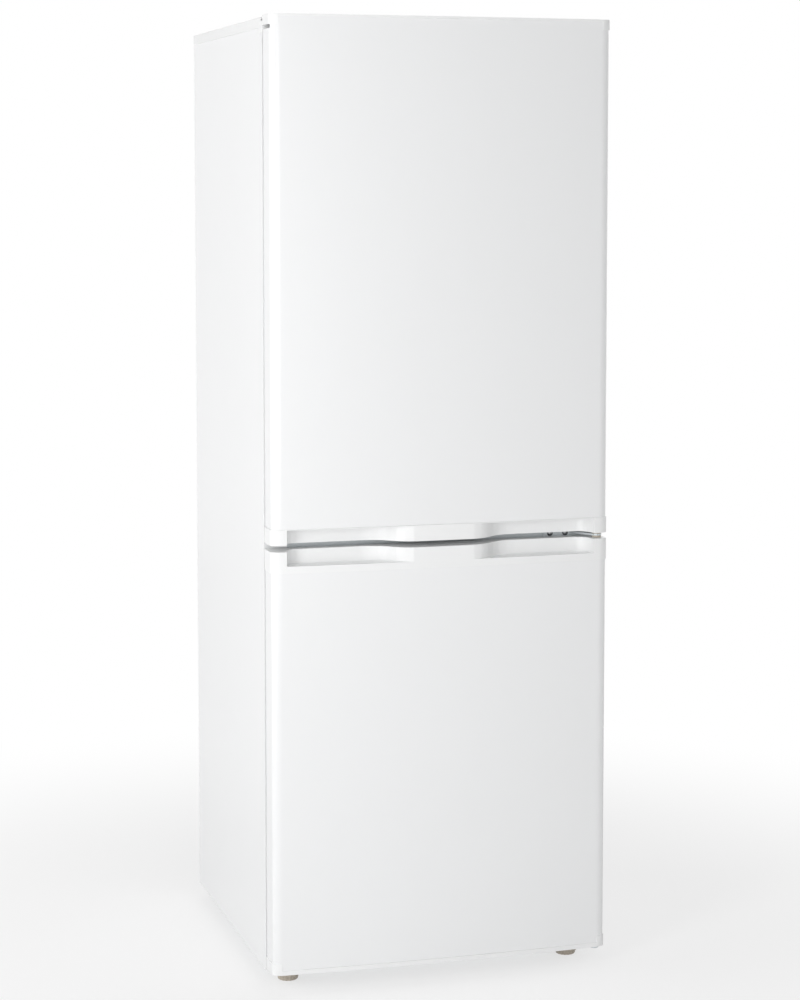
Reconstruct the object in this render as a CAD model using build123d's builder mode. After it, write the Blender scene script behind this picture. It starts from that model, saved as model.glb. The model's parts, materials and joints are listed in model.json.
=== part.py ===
from build123d import *
import os

# A two-door refrigerator with the freezer compartment below, free standing.
# +Z is up, the doors face -Y and +X is on the right of a person facing them.
# The origin is on the floor under the middle of the whole outline. Millimetres.

os.makedirs("parts", exist_ok=True)

# ---------------------------------------------------------------- driving sizes
HEIGHT = 1520.0             # floor to the top of the upper door
WIDTH = 550.0               # over the painted steel
DEPTH = 600.0               # front of the doors to the rear spacers

SHEET = 0.8                 # painted steel
FRAME_SHEET = 1.2           # unpainted steel of rails, deck and bottom
LINER = 1.5                 # vacuum formed lining
CAP_WALL = 2.5              # walls of the moulded end caps
CAP_PROUD = 1.5             # end caps stand this far outside the steel
CAP_INSERT = 10.0           # the rim of an end cap reaches this far into the steel
CAP_RADIUS = 16.5           # front edges of the doors, over the end caps

DOOR_THICKNESS = 54.0
DOOR_GAP = 10.0             # room for the gasket
CABINET_REAR = 280.0

DOOR_SPLIT = 702.25         # middle of the gap between the two doors
SPLIT_GAP = 9.5
FREEZER_DOOR_BOTTOM = 30.0
UPPER_HANDLE_HEIGHT = 25.0  # handle cap at the foot of the upper door
LOWER_HANDLE_HEIGHT = 33.5  # handle cap at the head of the lower door
TOP_LIP = 3.5               # visible front of the upper door's top cap
BOTTOM_LIP = 7.0            # visible front of the lower door's bottom cap
TOP_EAR = 16.0              # side of the top cap
BOTTOM_EAR = 18.0           # side of the bottom cap
EAR_START = 262.0           # the ears begin here, measured from the middle

SCOOP_DEPTH = 21.0          # finger scoops in the handle caps
SCOOP_END = 252.0           # outer end of a scoop, measured from the middle
SCOOP_FLAT_END = 130.0      # here its flat back turns into the ramp
SCOOP_RAMP_END = 33.0       # and here the ramp reaches the front again
UPPER_SCOOP_HEIGHT = 24.0
LOWER_SCOOP_HEIGHT = 22.5

CABINET_BOTTOM = 22.0
CABINET_TOP = 1515.0
COVER_THICKNESS = 3.0
COVER_SKIRT = 16.0
FLANGE = 37.0               # painted steel folded in round the front opening

CAVITY_HALF = 230.0         # both compartments, half width
FRIDGE_FLOOR = 740.0
FRIDGE_CEILING = 1462.0
FRIDGE_BACK = 225.0
FREEZER_FLOOR = 75.0
FREEZER_CEILING = 668.0
FREEZER_BACK = 215.0
STEP_FRONT = 25.0           # the freezer floor steps up over the compressor bay
STEP_TOP = 300.0
BAY_FRONT = 70.0
BAY_TOP = 265.0

HINGE_X = 264.0
HINGE_Y = -273.0
PIN_RADIUS = 4.0
PIN_CLEARANCE = 0.05
BUSH_RADIUS = 6.0
HINGE_SHEET = 3.0
RUNNING_GAP = 0.3           # between faces that slide past each other
SIDES = 12                  # of small round pieces that nothing turns on
SCREW_SIDES = 8
HEXAGON = 6

FOOT_X = 235.0
FOOT_Y = -218.0
ROLLER_X = 240.0
ROLLER_Y = 245.0
ROLLER_RADIUS = 20.0

# ---------------------------------------------------------------- derived stations
FRONT = -DEPTH / 2
DOOR_REAR = FRONT + DOOR_THICKNESS
CABINET_FRONT = DOOR_REAR + DOOR_GAP
HALF = WIDTH / 2
CAP_HALF = HALF + CAP_PROUD
SKIN_INSIDE = CAP_PROUD + SHEET
FRIDGE_DOOR_BOTTOM = DOOR_SPLIT + SPLIT_GAP / 2
FREEZER_DOOR_TOP = DOOR_SPLIT - SPLIT_GAP / 2
FRIDGE_SKIN = (FRIDGE_DOOR_BOTTOM + UPPER_HANDLE_HEIGHT, HEIGHT - TOP_LIP)
FREEZER_SKIN = (FREEZER_DOOR_BOTTOM + BOTTOM_LIP, FREEZER_DOOR_TOP - LOWER_HANDLE_HEIGHT)
MULLION = (FREEZER_CEILING + 8, FRIDGE_FLOOR - 8)
LOW = (Align.CENTER, Align.CENTER, Align.MIN)


def save(piece, name):
    """Label a finished piece and write it to its own file."""
    piece.part.label = name
    export_step(piece.part, f"parts/{name}.step")


def block(x, y, z, mode=Mode.ADD):
    """A box between the given limits, added to the part that is open."""
    with Locations((sum(x) / 2, sum(y) / 2, sum(z) / 2)):
        Box(x[1] - x[0], y[1] - y[0], z[1] - z[0], mode=mode)


def upward(x, y, z):
    """Plane at a point, facing up."""
    return Plane((x, y, z))


def forward(x, y, z):
    """Plane at a point, facing the front."""
    return Plane((x, y, z), x_dir=(1, 0, 0), z_dir=(0, -1, 0))


def prism(place, radius, sides, length, mode=Mode.ADD):
    """A many-sided bar whose flats are this far from its axis, added to the part that is open."""
    with BuildSketch(place) as section:
        RegularPolygon(radius, sides, major_radius=False, rotation=180 / sides)
    extrude(section.sketch, amount=length, mode=mode)


def slope(end, length, depth):
    """Bevel all round an end face, which narrows by depth on each side over the given length."""
    chamfer(end.edges(), depth, length, reference=end)


def gather(*pieces):
    """Solids that touch but are not joined, as one part."""
    with BuildPart() as whole:
        add([solid for piece in pieces for solid in piece.solids()], mode=Mode.REPLACE)
    return whole


def side_profile(points):
    """A closed outline in the side view, from pairs of Y and Z."""
    with BuildSketch(Plane.YZ) as profile:
        with BuildLine():
            Polyline(*points, close=True)
        make_face()
    return profile.sketch


def frame(x, z, width, y):
    """A flat rectangular frame in the front view: outer half width, Z limits, band width, Y limits."""
    with BuildPart() as ring:
        with BuildSketch(Plane.XZ.offset(-y[1])):
            with Locations((0, sum(z) / 2)):
                Rectangle(2 * x, z[1] - z[0])
                Rectangle(2 * (x - width), z[1] - z[0] - 2 * width, mode=Mode.SUBTRACT)
        extrude(amount=y[1] - y[0])
    return ring.part


def pipe(points, radius, bend):
    """A pipe with a six-sided section, whose bends start this far from the corners of its route."""
    corners = [Vector(*point) for point in points]
    stations = [corners[0]]
    for before, corner, after in zip(corners, corners[1:], corners[2:]):
        stations.append(corner + (before - corner).normalized() * bend)
        stations.append(corner + (after - corner).normalized() * bend)
    stations.append(corners[-1])
    with BuildPart() as tube:
        with BuildLine() as route:
            Polyline(*stations)
        with BuildSketch(Plane(origin=route.line @ 0, z_dir=route.line % 0)):
            RegularPolygon(radius, HEXAGON)
        sweep(transition=Transition.RIGHT)
    return tube.part


# ---------------------------------------------------------------- cabinet shell
def compartment(floor, ceiling, rear, step=None, wall=0.0):
    """Side view of a compartment, or of the outside of its lining when a wall is given."""
    corners = [(CABINET_FRONT, floor - wall)]
    if step:
        corners += [(step[0] + wall, floor - wall), (step[0] + wall, step[1] - wall)]
        corners += [(rear + wall, step[1] - wall)]
    else:
        corners += [(rear + wall, floor - wall)]
    corners += [(rear + wall, ceiling + wall), (CABINET_FRONT, ceiling + wall)]
    return side_profile(corners)


def fridge_space(wall=0.0):
    return compartment(FRIDGE_FLOOR, FRIDGE_CEILING, FRIDGE_BACK, wall=wall)


def freezer_space(wall=0.0):
    step = (STEP_FRONT, STEP_TOP)
    return compartment(FREEZER_FLOOR, FREEZER_CEILING, FREEZER_BACK, step, wall)


# outer wrapper: one sheet over both sides and the top, folded in at the front and rear
FLANGE_TOP = FRIDGE_CEILING + 8
REAR_RETURN = 12.0
WRAPPER_BEND = 4.0
with BuildPart() as outer_wrapper:
    with BuildSketch(Plane.XZ.offset(-CABINET_REAR)) as shell:
        with Locations((0, CABINET_BOTTOM)):
            Rectangle(WIDTH, CABINET_TOP - CABINET_BOTTOM, align=(Align.CENTER, Align.MIN))
        chamfer(shell.vertices().group_by(Axis.Y)[-1], WRAPPER_BEND)
    extrude(amount=CABINET_REAR - CABINET_FRONT)
    with BuildSketch(Plane.XZ.offset(-CABINET_REAR + SHEET)) as hollow:
        with Locations((0, CABINET_BOTTOM)):
            Rectangle(
                WIDTH - 2 * SHEET,
                CABINET_TOP - CABINET_BOTTOM - SHEET,
                align=(Align.CENTER, Align.MIN),
            )
        chamfer(hollow.vertices().group_by(Axis.Y)[-1], WRAPPER_BEND - SHEET)
    extrude(amount=CABINET_REAR - CABINET_FRONT - 2 * SHEET, mode=Mode.SUBTRACT)
    block(
        (-HALF + FLANGE, HALF - FLANGE),
        (CABINET_FRONT, CABINET_FRONT + SHEET),
        (CABINET_BOTTOM, FLANGE_TOP),
        mode=Mode.SUBTRACT,
    )
    block(
        (-HALF + REAR_RETURN, HALF - REAR_RETURN),
        (CABINET_REAR - SHEET, CABINET_REAR),
        (CABINET_BOTTOM, CABINET_TOP - REAR_RETURN),
        mode=Mode.SUBTRACT,
    )
save(outer_wrapper, "outer_wrapper")

# rigid foam that fills the walls, with the two compartments and the compressor bay left free
FOOT_BLOCK = 30.0
FOOT_BLOCK_TOP = 42.0
FOAM_HALF = HALF - SHEET
with BuildPart() as insulation_foam:
    block(
        (-FOAM_HALF, FOAM_HALF),
        (CABINET_FRONT + LINER, CABINET_REAR - SHEET),
        (CABINET_BOTTOM + FRAME_SHEET, CABINET_TOP - SHEET),
    )
    chamfer(insulation_foam.edges().filter_by(Axis.Y).group_by(Axis.Z)[-1], WRAPPER_BEND - SHEET)
    extrude(fridge_space(LINER), amount=CAVITY_HALF + LINER, both=True, mode=Mode.SUBTRACT)
    extrude(freezer_space(LINER), amount=CAVITY_HALF + LINER, both=True, mode=Mode.SUBTRACT)
    block(
        (-FOAM_HALF, FOAM_HALF),
        (BAY_FRONT - FRAME_SHEET, CABINET_REAR),
        (CABINET_BOTTOM, BAY_TOP + FRAME_SHEET),
        mode=Mode.SUBTRACT,
    )
    with Locations((-FOOT_X, FOOT_Y, CABINET_BOTTOM), (FOOT_X, FOOT_Y, CABINET_BOTTOM)):
        Box(FOOT_BLOCK, FOOT_BLOCK, FOOT_BLOCK_TOP - CABINET_BOTTOM, align=LOW, mode=Mode.SUBTRACT)
save(insulation_foam, "insulation_foam")


def ledges(levels, y, reach, depth):
    """Tapered ribs along both side walls of a compartment, under each level."""
    with BuildPart() as ribs:
        with BuildSketch(Plane.XZ.offset(-y[1])):
            for level in levels:
                with BuildLine():
                    Polyline(
                        (CAVITY_HALF, level),
                        (CAVITY_HALF - reach, level),
                        (CAVITY_HALF - reach, level - depth / 2),
                        (CAVITY_HALF, level - depth),
                        close=True,
                    )
                make_face()
        extrude(amount=y[1] - y[0])
        mirror(about=Plane.YZ)
    return ribs.part


# linings of the two compartments, with shelf ledges formed in the side walls
SHELF_LEVELS = [900.0 + 72.0 * step for step in range(6)]
SHELF_DEPTH = (-150.0, 212.0)
LEDGE_REACH = 9.0
LEDGE_DEPTH = 8.0
LINER_FLANGE = 6.5
SKID_HEIGHT = 2.0           # low ribs on the floors, which the drawers slide on
SKID_X = 150.0
SKID_WIDTH = 8.0
SKID_START = CABINET_FRONT + 40


def lining(space, z, back):
    """Tray-shaped lining with a flange round its mouth, whose inside is the given space."""
    with BuildPart() as tray:
        extrude(space(LINER), amount=CAVITY_HALF + LINER, both=True)
        add(
            frame(
                CAVITY_HALF + LINER + LINER_FLANGE,
                (z[0] - LINER - LINER_FLANGE, z[1] + LINER + LINER_FLANGE),
                LINER_FLANGE + LINER,
                (CABINET_FRONT, CABINET_FRONT + LINER),
            )
        )
        extrude(space(), amount=CAVITY_HALF, both=True, mode=Mode.SUBTRACT)
        for side in (-1, 1):
            block(
                (side * SKID_X - SKID_WIDTH / 2, side * SKID_X + SKID_WIDTH / 2),
                (SKID_START, back - 10),
                (z[0], z[0] + SKID_HEIGHT),
            )
    return tray.part


with BuildPart() as fridge_liner:
    add(lining(fridge_space, (FRIDGE_FLOOR, FRIDGE_CEILING), FRIDGE_BACK))
    add(ledges(SHELF_LEVELS, SHELF_DEPTH, LEDGE_REACH, LEDGE_DEPTH))
save(fridge_liner, "fridge_liner")

EVAPORATOR_LEVELS = (304.0, 484.0)
EVAPORATOR_THICKNESS = 6.0
EVAPORATOR_LEDGE = 14.0
EVAPORATOR_LEDGE_DEPTH = 10.0
with BuildPart() as freezer_liner:
    add(lining(freezer_space, (FREEZER_FLOOR, FREEZER_CEILING), STEP_FRONT))
    ledge_y = (CABINET_FRONT + 36, STEP_FRONT)
    add(ledges(EVAPORATOR_LEVELS, ledge_y, EVAPORATOR_LEDGE, EVAPORATOR_LEDGE_DEPTH))
save(freezer_liner, "freezer_liner")

# steel strip between the two compartments, which both gaskets and the middle hinge use
with BuildPart() as mullion_rail:
    block((-HALF + FLANGE, HALF - FLANGE), (CABINET_FRONT, CABINET_FRONT + FRAME_SHEET), MULLION)
save(mullion_rail, "mullion_rail")

# front rail under the freezer compartment: an angle with a welded threaded block for each foot
STEM_RADIUS = 5.0
RAIL_DEPTH = 46.0
RAIL_TOP = FREEZER_FLOOR - 8
foot_places = ((-FOOT_X, FOOT_Y, CABINET_BOTTOM), (FOOT_X, FOOT_Y, CABINET_BOTTOM))
with BuildPart() as front_rail:
    with BuildSketch(Plane.YZ):
        with BuildLine():
            Polyline(
                (CABINET_FRONT, CABINET_BOTTOM),
                (CABINET_FRONT, RAIL_TOP),
                (CABINET_FRONT + FRAME_SHEET, RAIL_TOP),
                (CABINET_FRONT + FRAME_SHEET, CABINET_BOTTOM + FRAME_SHEET),
                (CABINET_FRONT + RAIL_DEPTH, CABINET_BOTTOM + FRAME_SHEET),
                (CABINET_FRONT + RAIL_DEPTH, CABINET_BOTTOM),
                close=True,
            )
        make_face()
    extrude(amount=HALF - FLANGE, both=True)
    block(
        (-FOAM_HALF, FOAM_HALF),
        (CABINET_FRONT + SHEET, CABINET_FRONT + RAIL_DEPTH),
        (CABINET_BOTTOM, CABINET_BOTTOM + FRAME_SHEET),
    )
    with Locations(*foot_places):
        Box(FOOT_BLOCK, FOOT_BLOCK, FOOT_BLOCK_TOP - CABINET_BOTTOM, align=LOW)
        Cylinder(STEM_RADIUS + PIN_CLEARANCE, FOOT_BLOCK, align=LOW, mode=Mode.SUBTRACT)
save(front_rail, "front_rail")

# bottom sheet, bent up and back over the compressor bay
with BuildPart() as bottom_plate:
    bottom = CABINET_BOTTOM
    extrude(
        side_profile(
            [
                (CABINET_FRONT + RAIL_DEPTH, bottom),
                (BAY_FRONT, bottom),
                (BAY_FRONT, BAY_TOP),
                (CABINET_REAR - SHEET, BAY_TOP),
                (CABINET_REAR - SHEET, BAY_TOP + FRAME_SHEET),
                (BAY_FRONT - FRAME_SHEET, BAY_TOP + FRAME_SHEET),
                (BAY_FRONT - FRAME_SHEET, bottom + FRAME_SHEET),
                (CABINET_FRONT + RAIL_DEPTH, bottom + FRAME_SHEET),
            ]
        ),
        amount=FOAM_HALF,
        both=True,
    )
save(bottom_plate, "bottom_plate")

# back sheet, behind the foam and above the compressor bay
with BuildPart() as back_panel:
    block(
        (-HALF + REAR_RETURN, HALF - REAR_RETURN),
        (CABINET_REAR - SHEET, CABINET_REAR),
        (BAY_TOP, CABINET_TOP - REAR_RETURN),
    )
save(back_panel, "back_panel")

# moulded top, a shallow lid whose skirt hides the cut edge of the wrapper; the skirt is notched
# at both front corners for the top hinge
COVER_REAR = CABINET_REAR + 3
COVER_CORNER = 8.0
COVER_EDGE = 1.4
CORNER_TOP = 1512.0
CORNER_BOTTOM = 1494.0
CORNER_REAR = CABINET_FRONT + 14
with BuildPart() as top_cover:
    block(
        (-CAP_HALF, CAP_HALF),
        (CABINET_FRONT, COVER_REAR),
        (CABINET_TOP + COVER_THICKNESS - COVER_SKIRT, CABINET_TOP + COVER_THICKNESS),
    )
    fillet(top_cover.edges().filter_by(Axis.Z).group_by(Axis.Y)[-1], COVER_CORNER)
    chamfer(top_cover.faces().sort_by(Axis.Z)[-1].edges(), COVER_EDGE)
    block(
        (-HALF, HALF),
        (CABINET_FRONT, CABINET_REAR),
        (CABINET_TOP - COVER_SKIRT, CABINET_TOP),
        mode=Mode.SUBTRACT,
    )
    notch_z = (CORNER_BOTTOM, CORNER_TOP)
    block((-CAP_HALF, CAP_HALF), (CABINET_FRONT, CORNER_REAR), notch_z, mode=Mode.SUBTRACT)
save(top_cover, "top_cover")

# blanking cover on the free front corner, where the top hinge goes when the doors are rehung
BLANK_WIDTH = 54.0
BLANK_FRONT = DOOR_REAR + 1.5
with BuildPart() as hinge_blank_cover:
    with BuildSketch(Plane.XY.offset(CORNER_BOTTOM)):
        with BuildLine():
            Polyline(
                (-HALF, CORNER_REAR),
                (-CAP_HALF, CORNER_REAR),
                (-CAP_HALF, BLANK_FRONT),
                (-HALF + BLANK_WIDTH - 4, BLANK_FRONT + 2.5),
                (-HALF + BLANK_WIDTH, CABINET_FRONT),
                (-HALF, CABINET_FRONT),
                close=True,
            )
        make_face()
    extrude(amount=CORNER_TOP - CORNER_BOTTOM)
save(hinge_blank_cover, "hinge_blank_cover")

# ---------------------------------------------------------------- hinges
ARM_ROOT = 20.0             # width of the arm where it leaves the flange
SCREW_RADIUS = 2.5
HEAD_RADIUS = 5.0
HEAD_HEIGHT = 2.4
FLANGE_FRONT = CABINET_FRONT - HINGE_SHEET


def hinge(arm_z, flange_z, span, root, screw_x):
    """Folded bracket: a flange screwed to the cabinet front and an arm out to the hinge pin.

    root gives the limits along X of the arm where it leaves the flange."""
    with BuildPart() as bracket:
        block(span, (FLANGE_FRONT, CABINET_FRONT), flange_z)
        with BuildSketch(Plane.XY.offset(arm_z)):
            with Locations((HINGE_X, HINGE_Y)):
                RegularPolygon(2 * PIN_RADIUS, SIDES, rotation=180 / SIDES)
            with Locations((sum(root) / 2, FLANGE_FRONT + HINGE_SHEET / 2)):
                Rectangle(root[1] - root[0], HINGE_SHEET)
            make_hull()
        extrude(amount=HINGE_SHEET)
        for x in screw_x:
            hole = forward(x, CABINET_FRONT, sum(flange_z) / 2)
            prism(hole, SCREW_RADIUS, SCREW_SIDES, HINGE_SHEET, mode=Mode.SUBTRACT)
        eye = upward(HINGE_X, HINGE_Y, arm_z)
        prism(eye, PIN_RADIUS, SIDES, HINGE_SHEET, mode=Mode.SUBTRACT)
    return bracket


def screws(screw_x, z):
    """Hexagon-headed screws of one hinge flange."""
    with BuildPart() as pair:
        for x in screw_x:
            prism(forward(x, CABINET_FRONT, z), SCREW_RADIUS, SCREW_SIDES, HINGE_SHEET)
            prism(forward(x, FLANGE_FRONT, z), HEAD_RADIUS, HEXAGON, HEAD_HEIGHT)
    return pair.part


MIDDLE_ARM = DOOR_SPLIT - HINGE_SHEET / 2
TOP_ARM = 1500.0
BOTTOM_ARM = 24.0
TOP_SPAN = (218.0, HINGE_X + 2 * PIN_RADIUS)
MIDDLE_SPAN = (186.0, 250.0)
BOTTOM_SPAN = (206.0, HINGE_X - 2)
TOP_FLANGE = (1492.0, 1512.0)
MIDDLE_FLANGE = (694.0, 710.0)
BOTTOM_FLANGE = (BOTTOM_ARM, 44.0)
TOP_SCREWS = (229.0, 246.0)
MIDDLE_SCREWS = (197.0, 223.0)
BOTTOM_SCREWS = (217.0, 234.0)

top_root = (HINGE_X - 2 * PIN_RADIUS, HINGE_X + 2 * PIN_RADIUS)
middle_root = (MIDDLE_SPAN[1] - ARM_ROOT, MIDDLE_SPAN[1])
bottom_root = (BOTTOM_SPAN[1] - ARM_ROOT, BOTTOM_SPAN[1])
save(hinge(TOP_ARM, TOP_FLANGE, TOP_SPAN, top_root, TOP_SCREWS), "top_hinge")
save(hinge(MIDDLE_ARM, MIDDLE_FLANGE, MIDDLE_SPAN, middle_root, MIDDLE_SCREWS), "middle_hinge")
save(hinge(BOTTOM_ARM, BOTTOM_FLANGE, BOTTOM_SPAN, bottom_root, BOTTOM_SCREWS), "bottom_hinge")

PIN_REACH = 13.0            # of a pin into its bush
ARM_GAP = 3.0               # from a hinge arm to the end of the door beside it
pin_spans = (
    (TOP_ARM - PIN_REACH, TOP_ARM + HINGE_SHEET),
    (MIDDLE_ARM - ARM_GAP - PIN_REACH, MIDDLE_ARM + HINGE_SHEET + ARM_GAP + PIN_REACH),
    (BOTTOM_ARM, BOTTOM_ARM + HINGE_SHEET + ARM_GAP + PIN_REACH),
)
with BuildPart() as hinge_pins:
    for low, high in pin_spans:
        with Locations((HINGE_X, HINGE_Y, low)):
            Cylinder(PIN_RADIUS, high - low, align=LOW)
save(hinge_pins, "hinge_pins")

with BuildPart() as hinge_screws:
    add(screws(TOP_SCREWS, sum(TOP_FLANGE) / 2))
    add(screws(MIDDLE_SCREWS, sum(MIDDLE_FLANGE) / 2))
    add(screws(BOTTOM_SCREWS, sum(BOTTOM_FLANGE) / 2))
save(hinge_screws, "hinge_screws")

# slippery washers that carry the doors on the arms
WASHER_RADIUS = 7.0
with BuildPart() as hinge_washers:
    bottoms = (
        (MIDDLE_ARM + HINGE_SHEET, FRIDGE_DOOR_BOTTOM - RUNNING_GAP),
        (FREEZER_DOOR_TOP + RUNNING_GAP, MIDDLE_ARM),
        (BOTTOM_ARM + HINGE_SHEET, FREEZER_DOOR_BOTTOM - RUNNING_GAP),
    )
    for low, high in bottoms:
        washer = upward(HINGE_X, HINGE_Y, low)
        prism(washer, WASHER_RADIUS, SIDES, high - low)
        prism(washer, PIN_RADIUS, SIDES, high - low, mode=Mode.SUBTRACT)
save(hinge_washers, "hinge_washers")


# ---------------------------------------------------------------- doors
def door_plan(z, inset=0.0, rear=DOOR_REAR):
    """Plan of a door at height z: the outline of the end caps, or one inside it."""
    front = FRONT + inset
    with BuildSketch(Plane.XY.offset(z)) as plan:
        with Locations((0, (front + rear) / 2)):
            Rectangle(2 * (CAP_HALF - inset), rear - front)
        fillet(plan.vertices().group_by(Axis.Y)[0], CAP_RADIUS - inset)
    return plan.sketch


def scoop_plan(z):
    """Plan of the two finger scoops: a quarter-round end, a flat back and a long ramp out."""
    back = FRONT + SCOOP_DEPTH
    mouth = FRONT - 1
    with BuildSketch(Plane.XY.offset(z)) as scoops:
        with BuildLine():
            end_wall = TangentArc(
                (-SCOOP_END, FRONT), (-SCOOP_END + SCOOP_DEPTH, back), tangent=(0, 1)
            )
            flat = Line(end_wall @ 1, (-SCOOP_FLAT_END, back))
            middle = (-(SCOOP_FLAT_END + SCOOP_RAMP_END) / 2, (back + mouth) / 2)
            hollow_ramp = TangentArc(flat @ 1, middle, tangent=flat % 1)
            round_ramp = TangentArc(hollow_ramp @ 1, (-SCOOP_RAMP_END, mouth), tangent=hollow_ramp % 1)
            Polyline(round_ramp @ 1, (-SCOOP_END, mouth), end_wall @ 0)
        make_face()
        mirror(about=Plane.YZ)
    return scoops.sketch


SLOT_ROOM = 1.5             # above and below the arm of the top hinge
SLOT = (TOP_ARM - SLOT_ROOM, TOP_ARM + HINGE_SHEET + SLOT_ROOM)
SLOT_INNER = HINGE_X - 12
SLOT_FRONT = HINGE_Y - 16
BUSH_LENGTH = 15.0


def hinge_slots():
    """Space in both upper rear corners of the upper door that the top hinge arm swings through."""
    with BuildPart() as slots:
        block((SLOT_INNER, CAP_HALF), (SLOT_FRONT, DOOR_REAR), SLOT)
        mirror(about=Plane.YZ)
    return slots.part


def door_skin(z):
    """Painted sheet bent round both front edges, with a narrow return along each rear edge."""
    with BuildPart() as skin:
        extrude(door_plan(z[0], CAP_PROUD), amount=z[1] - z[0])
        inside = door_plan(z[0], SKIN_INSIDE, DOOR_REAR - SHEET)
        extrude(inside, amount=z[1] - z[0], mode=Mode.SUBTRACT)
        block(
            (-HALF + REAR_RETURN, HALF - REAR_RETURN), (DOOR_REAR - SHEET, DOOR_REAR), z, mode=Mode.SUBTRACT
        )
    return skin.part


def cap_shell(lip, seam):
    """Hollow end cap: a rim flush with the door, its outer face, and an insert inside the steel."""
    inward = 1 if seam > lip else -1
    insert = seam + inward * CAP_INSERT
    with BuildPart() as cap:
        extrude(door_plan(lip), amount=seam - lip)
        extrude(door_plan(seam, SKIN_INSIDE, DOOR_REAR - SHEET), amount=insert - seam)
        floor = lip + inward * CAP_WALL
        inside = door_plan(floor, SKIN_INSIDE + CAP_WALL, DOOR_REAR - CAP_WALL)
        extrude(inside, amount=insert - floor, mode=Mode.SUBTRACT)
    return cap.part


def cap_ears(seam, end):
    """Thin sides of an end cap that overlap the steel at the two front edges."""
    with BuildPart() as ears:
        with BuildSketch(Plane.XY.offset(seam)):
            add(door_plan(seam))
            add(door_plan(seam, CAP_PROUD), mode=Mode.SUBTRACT)
            with Locations((0, FRONT)):
                Rectangle(2 * EAR_START, 4 * DOOR_THICKNESS, mode=Mode.SUBTRACT)
        extrude(amount=end - seam)
    return ears.part


def bosses(lip, end):
    """Bosses at both hinge positions of an end cap."""
    with BuildPart() as pair:
        for x in (-HINGE_X, HINGE_X):
            prism(upward(x, HINGE_Y, lip), BUSH_RADIUS + CAP_WALL, SIDES, end - lip)
    return pair.part


def bush_hole(lip, end):
    """Seat for the bush on the hinge side of an end cap."""
    with BuildPart() as seat:
        prism(upward(HINGE_X, HINGE_Y, lip), BUSH_RADIUS, SIDES, end - lip)
    return seat.part


def handle_cap(lip, seam, scoop_height):
    """End cap with two finger scoops open at its outer face, whose walls are as thick as the cap's."""
    inward = 1 if seam > lip else -1
    scoop_end = lip + inward * scoop_height
    boss_end = lip + inward * BUSH_LENGTH
    with BuildPart() as cap:
        add(cap_shell(lip, seam))
        with BuildSketch(Plane.XY.offset(lip)):
            add(scoop_plan(lip))
            offset(amount=CAP_WALL)
            add(door_plan(lip, SKIN_INSIDE, DOOR_REAR - SHEET), mode=Mode.INTERSECT)
        extrude(amount=scoop_end + inward * CAP_WALL - lip)
        extrude(scoop_plan(lip), amount=scoop_end - lip, mode=Mode.SUBTRACT)
        add(bosses(lip, boss_end))
        add(bush_hole(lip, boss_end), mode=Mode.SUBTRACT)
    return cap


save(handle_cap(FRIDGE_DOOR_BOTTOM, FRIDGE_SKIN[0], UPPER_SCOOP_HEIGHT), "fridge_door_handle_cap")
save(handle_cap(FREEZER_DOOR_TOP, FREEZER_SKIN[1], LOWER_SCOOP_HEIGHT), "freezer_door_handle_cap")

CORNER_BLOCK_BOTTOM = 1486.0
CORNER_BLOCK_INNER = 240.0
with BuildPart() as fridge_door_top_cap:
    add(cap_shell(HEIGHT, FRIDGE_SKIN[1]))
    add(cap_ears(FRIDGE_SKIN[1], HEIGHT - TOP_EAR))
    with BuildSketch(Plane.XY.offset(CORNER_BLOCK_BOTTOM)):
        add(door_plan(CORNER_BLOCK_BOTTOM, SKIN_INSIDE, DOOR_REAR - SHEET))
        with Locations((0, FRONT)):
            Rectangle(2 * CORNER_BLOCK_INNER, 4 * DOOR_THICKNESS, mode=Mode.SUBTRACT)
    extrude(amount=FRIDGE_SKIN[1] - CORNER_BLOCK_BOTTOM)
    add(hinge_slots(), mode=Mode.SUBTRACT)
    add(bush_hole(CORNER_BLOCK_BOTTOM, SLOT[0]), mode=Mode.SUBTRACT)
save(fridge_door_top_cap, "fridge_door_top_cap")

with BuildPart() as freezer_door_bottom_cap:
    add(cap_shell(FREEZER_DOOR_BOTTOM, FREEZER_SKIN[0]))
    add(cap_ears(FREEZER_SKIN[0], FREEZER_DOOR_BOTTOM + BOTTOM_EAR))
    add(bosses(FREEZER_DOOR_BOTTOM, FREEZER_DOOR_BOTTOM + BUSH_LENGTH))
    add(bush_hole(FREEZER_DOOR_BOTTOM, FREEZER_DOOR_BOTTOM + BUSH_LENGTH), mode=Mode.SUBTRACT)
save(freezer_door_bottom_cap, "freezer_door_bottom_cap")

with BuildPart() as fridge_door_skin:
    add(door_skin(FRIDGE_SKIN))
    add(hinge_slots(), mode=Mode.SUBTRACT)
save(fridge_door_skin, "fridge_door_skin")

with BuildPart() as freezer_door_skin:
    add(door_skin(FREEZER_SKIN))
save(freezer_door_skin, "freezer_door_skin")


def bushes(spans):
    """Plain bearings for the hinge pins, one for each pair of heights."""
    with BuildPart() as pair:
        for low, high in spans:
            prism(upward(HINGE_X, HINGE_Y, low), BUSH_RADIUS, SIDES, high - low)
            with Locations((HINGE_X, HINGE_Y, low)):
                Cylinder(PIN_RADIUS + PIN_CLEARANCE, high - low, align=LOW, mode=Mode.SUBTRACT)
    return pair


fridge_bush_spans = (
    (FRIDGE_DOOR_BOTTOM, FRIDGE_DOOR_BOTTOM + BUSH_LENGTH),
    (CORNER_BLOCK_BOTTOM, SLOT[0]),
)
freezer_bush_spans = (
    (FREEZER_DOOR_BOTTOM, FREEZER_DOOR_BOTTOM + BUSH_LENGTH),
    (FREEZER_DOOR_TOP - BUSH_LENGTH, FREEZER_DOOR_TOP),
)
save(bushes(fridge_bush_spans), "fridge_door_bushes")
save(bushes(freezer_bush_spans), "freezer_door_bushes")

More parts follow.
